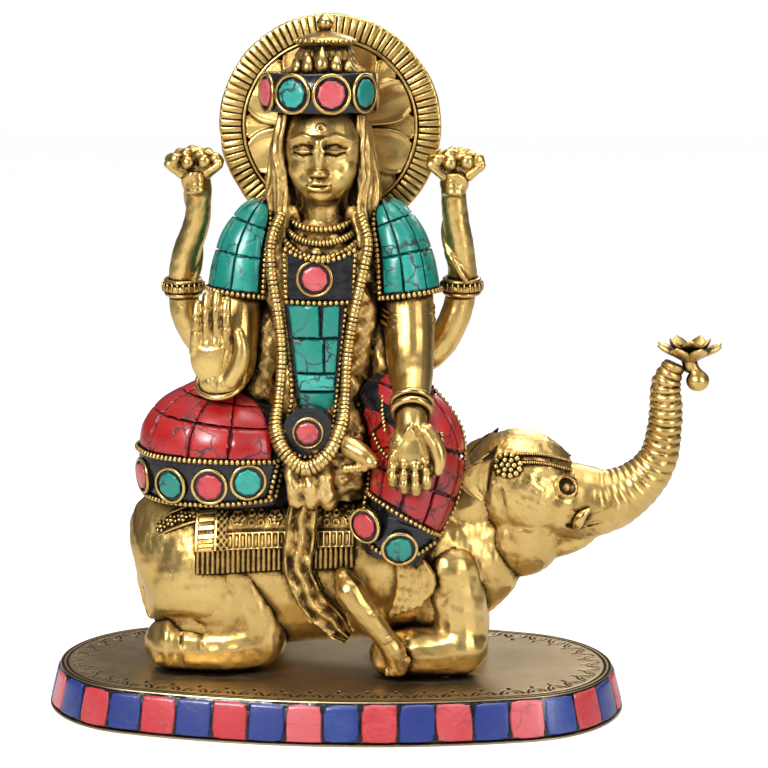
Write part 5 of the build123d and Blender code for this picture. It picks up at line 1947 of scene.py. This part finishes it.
def makeBeadWires(sleeveRight, sleeveLeft, thigh, shin):
    rise = 0.75
    for wrap, sign in ((sleeveRight, 1), (sleeveLeft, -1)):
        beadRun(onWrap(wrap, [(s, sign * 50) for s in (0.02, 0.2, 0.4, 0.6, 0.8, 0.985)], rise))
        beadRun(onWrap(wrap, [(0.985, sign * a) for a in range(56, 301, 16)], rise * 0.7))
    y = -18.9
    beadRun([(-31.6, y, 144.6), (-20.4, y - 0.3, 144.2), (-9.2, y, 144.6)])
    beadRun([(-31.8, y, 162.2), (-26.5, y, 159.6), (-20.2, y - 0.2, 158.4), (-14, y, 159.4), (-8.8, y, 162)])
    beadRun([(-32.2, y, 160.4), (-32.0, y, 153), (-31.8, y, 146.4)])
    beadRun([(-8.4, y, 160.4), (-8.8, y, 153), (-9.0, y, 146.4)])
    cx, cz = claspLook["middle"]
    loop = [(cx + 8.3 * math.cos(math.radians(a)), claspLook["front"] - 0.6,
             cz + 8.3 * math.sin(math.radians(a)))
            for a in range(170, 375, 15)]
    beadRun([(-32.9, y, 142), (-31.6, y, 130), (-30.2, y - 0.6, 118), (-30.0, y - 3.4, 110), *loop[1:]])
    beadRun([(-11.6, y, 142), (-12.9, y, 130), (-14.0, y - 0.6, 118), (-14.8, y - 3.4, 110), loop[-1]])
    beadRun([(-10.0, y + 0.6, 141), (-11.2, y, 129), (-12.2, y - 0.8, 117), (-12.6, y - 5, 108)], 0.8)
    for end in (0, 1):
        spots = [(thigh.shareAt(hemLine(a)[end]), a) for a in range(-54, -238, -11)]
        beadRun(onWrap(thigh, spots, 0.95))
    for angle, lift in ((-52.5, 0.9), (-47.0, 0.4)):
        spots = [(thigh.shareAt(z), angle + (z - 90) * 0.3) for z in (80, 84, 89, 94, 99, 104, 109)]
        beadRun(onWrap(thigh, spots, lift))
    beadRun(onWrap(shin, [(0.03, 222), (0.14, 262), (0.3, 268), (0.45, 270), (0.6, 268), (0.7, 262)], 0.6))
    beadRun(onWrap(shin, [(0.715, 264), (0.725, 238), (0.742, 206), (0.764, 172), (0.786, 140),
                          (0.797, 112)], 0.8))
    beadRun(onWrap(shin, [(0.72, 266), (0.8, 262), (0.9, 244), (0.965, 212), (0.97, 176), (0.94, 142),
                          (0.86, 112)], 0.8))
    beadRun(onWrap(shin, [(0.06, 96), (0.2, 92), (0.4, 92), (0.6, 96), (0.78, 104)], 0.5))
    hand = [(0.26, 226), (0.38, 224), (0.49, 217), (0.565, 203), (0.59, 184), (0.565, 165), (0.49, 150),
            (0.40, 143)]
    beadRun(onWrap(shin, hand, 0.75))
    beadRun([(0.8, -20.4, 113), (1.0, -24, 108), (2.2, -29.8, 103.4)], 0.85)
    chain = copies(bead, beadPlaces, "bead_chain")
    discard(bead)
    finishPiece(chain, "bead_chain", brightFinish, ("bead_wires",), angle=0)


# cabochons in bezels

claspLook = {"middle": (-23.8, 101.6), "front": -27.4}
cabochonLook = {
    "bezel": 5.75, "wire": 0.62, "stone": 4.55, "tall": 1.5,
    "bandAngles": [(-143, "red"), (-103, "turquoise"), (-63, "red"), (-23, "turquoise"), (17, "red"),
                   (57, "turquoise"),
                   (97, "red"), (137, "turquoise")],
    "thigh": [(-80.8, 84.4, "red"), (-70.0, 83.6, "turquoise"), (-56.4, 84.2, "red"),
              (-43.6, 85.6, "turquoise")],
    "shin": [((-4.2, -33.6, 71.6), (-0.62, -1, -0.1), "red"),
             ((7.4, -36.3, 64.6), (0.1, -1, -0.25), "turquoise")],
}


def cabochonSeats():
    look = cabochonLook
    seats = []
    r = crownLook["bandRadius"]
    for angle, colour in look["bandAngles"]:
        turn = math.radians(angle)
        out = (math.sin(turn), -math.cos(turn), 0.0)
        seats.append(((crownLook["middle"][0] + r * out[0], crownLook["middle"][1] + r * out[1], 213.8),
                      out, colour, 1.06))
    for x, z, colour in look["thigh"]:
        share = (x + 53.6) / 29.6
        fall = math.sqrt(1 - share**2)
        seats.append(((x - 0.3 * (share < -0.8), -9 - 24.4 * fall, z), (share * 0.8, -fall, -0.06), colour,
                      1.0))
    for centre, normal, colour in look["shin"]:
        seats.append((centre, normal, colour, 0.98))
    seats.append(((-22.2, -18.0, 152.4), (0, -1, 0), "red", 1.0))
    seats.append(((claspLook["middle"][0], claspLook["front"], claspLook["middle"][1]), (0, -1, 0), "red",
                  0.86))
    return seats


def makeCabochons():
    look = cabochonLook
    dice = random.Random(17)
    wire = addRing((0, 0, 0.35), (0, 0, 1), look["bezel"], look["wire"], 30)
    wall = turnedPiece([(look["bezel"] - 0.1, -0.9), (look["bezel"] + 0.25, -0.9), (look["bezel"] + 0.3, 0.3),
                        (look["bezel"] - 0.45, 0.35), (look["bezel"] - 0.1, -0.9)], (0, 0), 40)
    bezel = joinUp([wire, wall], "bezel")
    cup = turnedPiece([(0, 0.1), (look["bezel"] - 0.5, 0.2), (look["bezel"] - 0.3, -0.8), (0, -0.8)],
                      (0, 0), 32)
    seats = cabochonSeats()
    ringPlaces = [(centre, size, basis(normal)) for centre, normal, _, size in seats]
    rings = copies(bezel, ringPlaces, "bezelRings")
    cups = copies(cup, ringPlaces, "bezelCups")
    discard(bezel)
    discard(cup)
    finishPiece(rings, "bezel_rings", brightFinish, ("bezels",), angle=50)
    finishPiece(cups, "bezel_cement", resinFinish, angle=50, shadeAndPatina=False)
    for colour, stone, slotName, node in (
        ("red", roseStone, "coral_red_stone", "stones_red"),
        ("turquoise", turquoiseStone, "turquoise_stone", "stones_turquoise")
    ):
        points, faces, tones, edges = [], [], [], []
        for centre, normal, kind, size in seats:
            if kind != colour:
                continue
            frameOf = basis(normal)
            sides = 9 if dice.random() < 0.6 else 8
            reach = [look["stone"] * size * dice.uniform(0.93, 1.03) for _ in range(sides)]
            spin = dice.uniform(0, 6.28)
            tone = dice.choice((0.25, 0.4, 0.7))
            around = 54
            levels = [(1.0, 0.1), (1.0, 0.75), (0.965, 1.1), (0.9, 1.3), (0.72, 1.42), (0.4, 1.5),
                      (0.12, 1.52)]
            shift = len(points)
            for scaleIn, tall in levels:
                for k in range(around):
                    a = 2 * math.pi * k / around
                    part = (a / (2 * math.pi) * sides) % sides
                    i = int(part) % sides
                    t = part - int(part)
                    half = math.pi / sides
                    r = (reach[i] * (1 - t) + reach[(i + 1) % sides] * t) * math.cos(half)
                    r /= math.cos((t - 0.5) * 2 * half)
                    flat = np.array((r * scaleIn * math.cos(a + spin), r * scaleIn * math.sin(a + spin),
                                     tall * look["tall"] / 1.5))
                    spot = flat @ frameOf + np.array(centre)
                    points.append(tuple(spot * mm))
                    tones.append(tone)
                    edges.append(0.55 if tall <= 0.75 else 0.0)
            for r in range(len(levels) - 1):
                for k in range(around):
                    n = (k + 1) % around
                    faces.append((shift + r * around + k, shift + r * around + n,
                                  shift + (r + 1) * around + n, shift + (r + 1) * around + k))
            faces.append(tuple(shift + k for k in range(around))[::-1])
            faces.append(tuple(shift + (len(levels) - 1) * around + k for k in range(around)))
        mesh = bpy.data.meshes.new("stones")
        mesh.from_pydata(points, [], faces)
        piece = bpy.data.objects.new("stones", mesh)
        bpy.context.collection.objects.link(piece)
        paintNumber(piece, "tone", tones)
        paintNumber(piece, "edge", edges)
        finishPiece(piece, "cabochons_" + colour, (slotName, stone), (node,), angle=32, shadeAndPatina=False)


# garland, necklace, feet and the cloth end

garlandLook = {
    "line": [(-33.5, -13, 174), (-36.6, -18, 165), (-36.4, -19.5, 154), (-34.4, -20, 140),
             (-33.2, -20.5, 126),
             (-34.0, -23, 112.5), (-34.6, -28, 103), (-31.0, -32, 95.4), (-24.0, -33.5, 90.8),
             (-16.6, -32, 95.4),
             (-12.6, -28, 104), (-11.6, -23, 113), (-11.0, -20.5, 127), (-9.0, -20, 140), (-5.8, -19.5, 155),
             (-4.4, -18, 165), (-7.4, -13, 174)],
    "radius": 1.9, "ribStep": 1.5,
}


def ribbedRope(line, sizes, rings, across, step, depth):
    rope = addBody(line, sizes, rings, across, side=(0.2, 1, 0.1))
    curve = bend(np.array(line, float), 900)
    lengths = np.concatenate([[0], np.cumsum(np.linalg.norm(np.diff(curve, axis=0), axis=1))])
    points, normals = readPoints(rope)
    along = np.empty(len(points))
    for start in range(0, len(points), 1500):
        part = points[start : start + 1500]
        along[start : start + 1500] = lengths[((part[:, None] - curve[None]) ** 2).sum(axis=2).argmin(axis=1)]
    rib = np.abs(np.sin(math.pi * along / step)) ** 0.6
    writePoints(rope, points + normals * ((rib - 1) * depth)[:, None])
    # painted shade in the grooves between ribs
    paintNumber(rope, "given_painted_shade", np.clip((1 - rib) * 1.1 - 0.1, 0, 1))
    return rope


def makeGarland():
    look = garlandLook
    sizes = []
    for x, y, z in look["line"]:
        grow = 1.35 if z < 106 else 1.0
        sizes.append((look["radius"] * grow * 0.8, look["radius"] * grow))
    rope = ribbedRope(look["line"], sizes, 620, 16, look["ribStep"], 0.3)
    finishPiece(rope, "garland_rope", softFinish, ("garland",), angle=0)
    strands = []
    for drop, wide, step in ((0, 12.2, 1.5), (3.2, 13.6, 1.2), (6.6, 14.6, 1.7)):
        line = []
        for a in range(-84, 85, 14):
            t = math.radians(a)
            line.append((figureX + wide * math.sin(t), -3.5 - (9.6 + drop * 0.9) * math.cos(t),
                         173.5 - drop * 0.4 - (5.2 + drop) * math.cos(t)))
        strands.append(ribbedRope(line, [(0.9 if drop else 1.15, 1.35)] * len(line), 260, 12, step, 0.4))
    pendant = addBall((figureX - 1.2, -16.6, 160.6), (2.2, 1.6, 2.2), parts=(16, 10))
    strands.append(pendant)
    finishPiece(joinUp(strands, "necklace"), "necklace_strands", softFinish, ("necklace",), angle=0)


def makeFeet():
    bits = [addLimb([(-14, -26.0, 99.2), (-9.5, -29.6, 97.6), (-5.0, -32.0, 95.2), (-2.6, -33.2, 93.8)],
                    [3.2, 3.9, 3.5, 2.6])]
    bits.append(addBall((-2.0, -33.8, 93.2), (2.7, 2.3, 2.3)))
    for k in range(4):
        bits.append(addBall((-4.4 - 2.1 * k, -33.9 + 0.3 * k, 91.6 - 0.3 * k), (1.5, 1.4, 1.7)))
    bits.append(addLimb([(-12, -28, 52), (-9.8, -30, 48.2), (-3.8, -30.4, 39.6), (1.8, -29.4, 32),
                         (4.6, -28.4, 27.5), (6.6, -27.4, 21)],
                        [3.4, 5.4, 4.6, 3.7, 4.3, 3.5]))
    bits.append(addBall((-11.0, -29.2, 49.6), (4.4, 3.6, 3.9)))
    bits.append(addBall((5.6, -28.4, 24.4), (4.0, 3.2, 5.0), (0, -20, 0)))
    for k in range(5):
        bits.append(addBall((2.9 + 1.75 * k, -29.6 + 0.25 * k, 19.8 + 0.9 * k * (k > 1)), (1.05, 1.4, 1.7)))
    feet = fuse(bits, 0.4, 3)
    sculpt(feet, stroke([(-4.4, -34, 39.6), (-1.2, -34, 41), (1.2, -32, 42)], 0.6, 0.6),
           stroke([(2.4, -33, 31), (6.0, -32, 33)], 0.5, 0.6), wobble(0.12, 1.5, 50))
    finishPiece(feet, "feet_cast", castFinish, ("feet",), angle=0)


def makeDrape():
    rows = []
    line = bend(np.array([(-24.5, -29.6, 84, 4.4), (-25.4, -28.4, 74, 4.8), (-27.2, -27.6, 62, 5.0),
                          (-27.0, -27.2, 52, 4.6),
                          (-22.5, -26.9, 42.5, 4.6), (-16.2, -26.2, 35.5, 4.4), (-10.4, -25.4, 30.4, 1.6)],
                          float), 150)
    for i, (x, y, z, half) in enumerate(line):
        ahead = line[min(i + 1, 149)] - line[max(i - 1, 0)]
        across = np.array((-ahead[2], 0, ahead[0]))
        across /= np.linalg.norm(across)
        row = []
        for u in np.linspace(-1, 1, 28):
            wave = 0.55 * math.cos(u * 7.2 + 1.1 * math.sin(i * 0.16)) + 0.28 * math.sin(i * 0.42 + u * 2.4)
            rim = 0.8 * math.exp(-(((abs(u) - 0.88) / 0.12) ** 2))
            row.append(np.array((x, y, z)) - across * half * u + np.array((0, -wave - rim + 1.3 * u * u, 0)))
        rows.append(row)
    drape = skin(rows, closed=False, caps=False)
    points, normals = readPoints(drape)
    if normals[:, 1].sum() > 0:
        drape.data.flip_normals()
    applyModifier(drape, "SOLIDIFY", thickness=2.2 * mm, offset=-1.0)
    folds = []
    for k in range(5):
        x = 9.5 + k * 2.6
        folds.append(addLimb([(6 + k * 1.6, -28 + k * 0.6, 62 - k * 0.5), (x - 2.5, -26 + k * 0.5, 50),
                              (x - 6, -24.5, 38 + k)],
                             [1.5, 1.9, 1.1], sides=4))
    frill = fuse(folds, 0.5, 3)
    sculpt(frill, wobble(0.3, 1.4, 52))
    drape = joinUp([drape, frill], "drape")
    finishPiece(drape, "hanging_cloth_end", castFinish, ("drape",), angle=60)


for name in ("sleeve_right_resin", "sleeve_left_resin", "plaque_resin", "sash_resin", "clasp_resin",
             "shin_resin", "shin_hem"):
    nodes[name].data.materials.clear()
    nodes[name].data.materials.append(blackResin)
for name in ("plinth_screws", "halo_screws"):
    nodes[name].data.materials.clear()
    nodes[name].data.materials.append(zincSteel)
nodes["halo_bracket"].data.materials.clear()
nodes["halo_bracket"].data.materials.append(roughBrass)

sleeveRight, sleeveLeft = makeSleeves()
thighWrap = makeThigh()
shinWrap = makeShin()
makeSash()
makeBeadWires(sleeveRight, sleeveLeft, thighWrap, shinWrap)
makeCabochons()
makeGarland()
makeFeet()
makeDrape()
print("dress ready")


# shelter: how hidden each point of a casting is, which decides where painted shade and patina darken the
# brass

def makeShelter():
    corners, triangles = [], []
    shift = 0
    shells = [o for o in bpy.context.scene.objects if o.name in keepNames]
    shells = [o for o in shells if o.type == "MESH" and not o.hide_render]
    for piece in shells:
        mesh = piece.data
        mesh.calc_loop_triangles()
        points, _ = readPoints(piece)
        tris = np.empty(len(mesh.loop_triangles) * 3, dtype=np.int32)
        mesh.loop_triangles.foreach_get("vertices", tris)
        corners.append(points)
        triangles.append(tris.reshape(-1, 3) + shift)
        shift += len(points)
    tree = BVHTree.FromPolygons(np.vstack(corners).tolist(), np.vstack(triangles).tolist())
    rays = []
    for i in range(shelterLook["rays"]):
        lift = 1 - (i + 0.5) / shelterLook["rays"]
        flat = math.sqrt(1 - lift * lift)
        rays.append((flat * math.cos(i * 2.4), flat * math.sin(i * 2.4), lift))
    rays = np.array(rays)
    for piece in brassPieces:
        points, normals = readPoints(piece)
        side = np.where(np.abs(normals[:, 2:3]) < 0.9, [[0, 0, 1.0]], [[1.0, 0, 0]])
        across = np.cross(side, normals)
        across /= np.linalg.norm(across, axis=1)[:, None] + 1e-9
        deep = np.cross(normals, across)
        hits = np.zeros(len(points))
        for ray in rays:
            ways = across * ray[0] + deep * ray[1] + normals * ray[2]
            starts = points + normals * 0.15
            for i, (start, way) in enumerate(zip(starts.tolist(), ways.tolist())):
                gap = tree.ray_cast(start, way, shelterLook["reach"])[3]
                if gap is not None:
                    hits[i] += 1 - 0.7 * gap / shelterLook["reach"]
        # occlusion from the ray hits, raised by the gain, then merged with the painted shade given on each
        # piece
        values = np.clip((hits / len(rays)) ** 0.8 * shelterLook["gain"], 0, 1)
        given_painted_shade = piece.data.attributes.get("given_painted_shade")
        if given_painted_shade:
            extra = np.empty(len(points), dtype=np.float32)
            given_painted_shade.data.foreach_get("value", extra)
            values = np.maximum(values, extra)
        paintNumber(piece, "shelter", values)


shelterLook = {"rays": 10, "reach": 6.0, "gain": 1.35}
keepNames = {piece.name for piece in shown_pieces()}
makeShelter()
print("shelter ready")


# stage, lights and camera

def makeStage():
    bpy.ops.object.select_all(action="DESELECT")
    bpy.ops.mesh.primitive_plane_add(size=6, location=(0, 0, -0.0002))
    floor = bpy.context.object
    floor.name = "floor"
    material, tree, shader = emptyMaterial("paleFloor")
    place = addNode(tree, "TexCoord").outputs["Object"]
    grain = noiseNode(tree, place, 60.0, 3.0)
    tree.links.new(mixColor(tree, grain, (0.62, 0.62, 0.62, 1), (0.65, 0.65, 0.65, 1)),
                   shader.inputs["Base Color"])
    shader.inputs["Roughness"].default_value = 0.9
    shader.inputs["Emission Color"].default_value = (1, 1, 1, 1)
    path = addNode(tree, "LightPath")
    tree.links.new(mathNode(tree, "MULTIPLY", path.outputs["Is Camera Ray"], 0.55),
                   shader.inputs["Emission Strength"])
    floor.data.materials.append(material)


def addLight(name, place, target, size, power, color=(1, 1, 1)):
    bpy.ops.object.light_add(type="AREA", location=[c * mm for c in place])
    light = bpy.context.object
    light.name = name
    light.data.shape = "RECTANGLE"
    light.data.size, light.data.size_y = (s * mm for s in size)
    light.data.energy = power
    light.data.color = color
    way = Vector([(t - p) * mm for t, p in zip(target, place)])
    light.rotation_euler = way.to_track_quat("-Z", "Y").to_euler()


def addSun(name, way, power, soft):
    bpy.ops.object.light_add(type="SUN", location=(0, 0, 1))
    light = bpy.context.object
    light.name = name
    light.data.energy = power
    light.data.angle = math.radians(soft)
    light.rotation_euler = Vector(way).to_track_quat("Z", "Y").to_euler()


def makeWorld():
    world = bpy.data.worlds.new("studio")
    bpy.context.scene.world = world
    world.use_nodes = True
    tree = world.node_tree
    tree.nodes.clear()
    out = addNode(tree, "OutputWorld")
    seen = addNode(tree, "Background", None, Color=(1, 1, 1, 1), Strength=1.0)
    place = addNode(tree, "TexCoord").outputs["Generated"]
    parts = addNode(tree, "SeparateXYZ", None, Vector=place)
    ramp = addNode(tree, "ValToRGB")
    tree.links.new(spread(tree, parts.outputs[2], -0.6, 1.0), ramp.inputs[0])
    stops = ramp.color_ramp.elements
    stops[0].position, stops[0].color = 0.0, (0.05, 0.045, 0.04, 1)
    stops[1].position, stops[1].color = 1.0, (0.62, 0.63, 0.65, 1)
    mid = stops.new(0.5)
    mid.color = (0.17, 0.16, 0.15, 1)
    lit = addNode(tree, "Background", None, Color=ramp.outputs[0], Strength=0.62)
    path = addNode(tree, "LightPath")
    mix = addNode(tree, "MixShader")
    tree.links.new(path.outputs["Is Camera Ray"], mix.inputs[0])
    tree.links.new(lit.outputs[0], mix.inputs[1])
    tree.links.new(seen.outputs[0], mix.inputs[2])
    tree.links.new(mix.outputs[0], out.inputs[0])


cameraLook = {"azimuth": 3.5, "elevation": 10.25, "distance": 760.0, "aimHeight": 113.6, "lens": 103.27}


def makeCamera():
    look = cameraLook
    turn, rise = math.radians(look["azimuth"]), math.radians(look["elevation"])
    back = Vector((math.sin(turn) * math.cos(rise), -math.cos(turn) * math.cos(rise), math.sin(rise)))
    aim = Vector((0, 0, look["aimHeight"])) * mm
    bpy.ops.object.camera_add(location=aim + back * look["distance"] * mm)
    camera = bpy.context.object
    camera.rotation_euler = (-back).to_track_quat("-Z", "Y").to_euler()
    camera.data.lens = look["lens"]
    camera.data.sensor_width = 36.0
    camera.data.clip_start = 0.01
    bpy.context.scene.camera = camera


makeStage()
addSun("sky", (0.2, 0.1, 1.0), 1.25, 60)
addLight("key", (-300, -620, 460), (-10, 0, 110), (220, 220), 5.6)
addLight("fill", (520, -480, 300), (0, 0, 100), (140, 420), 1.8)
addLight("top", (0, -60, 700), (0, 0, 100), (360, 260), 1.4)
addLight("rim", (160, 480, 420), (0, 0, 130), (300, 200), 1.0)
makeWorld()
makeCamera()
bpy.context.scene.view_settings.view_transform = "Standard"
print("studio ready")
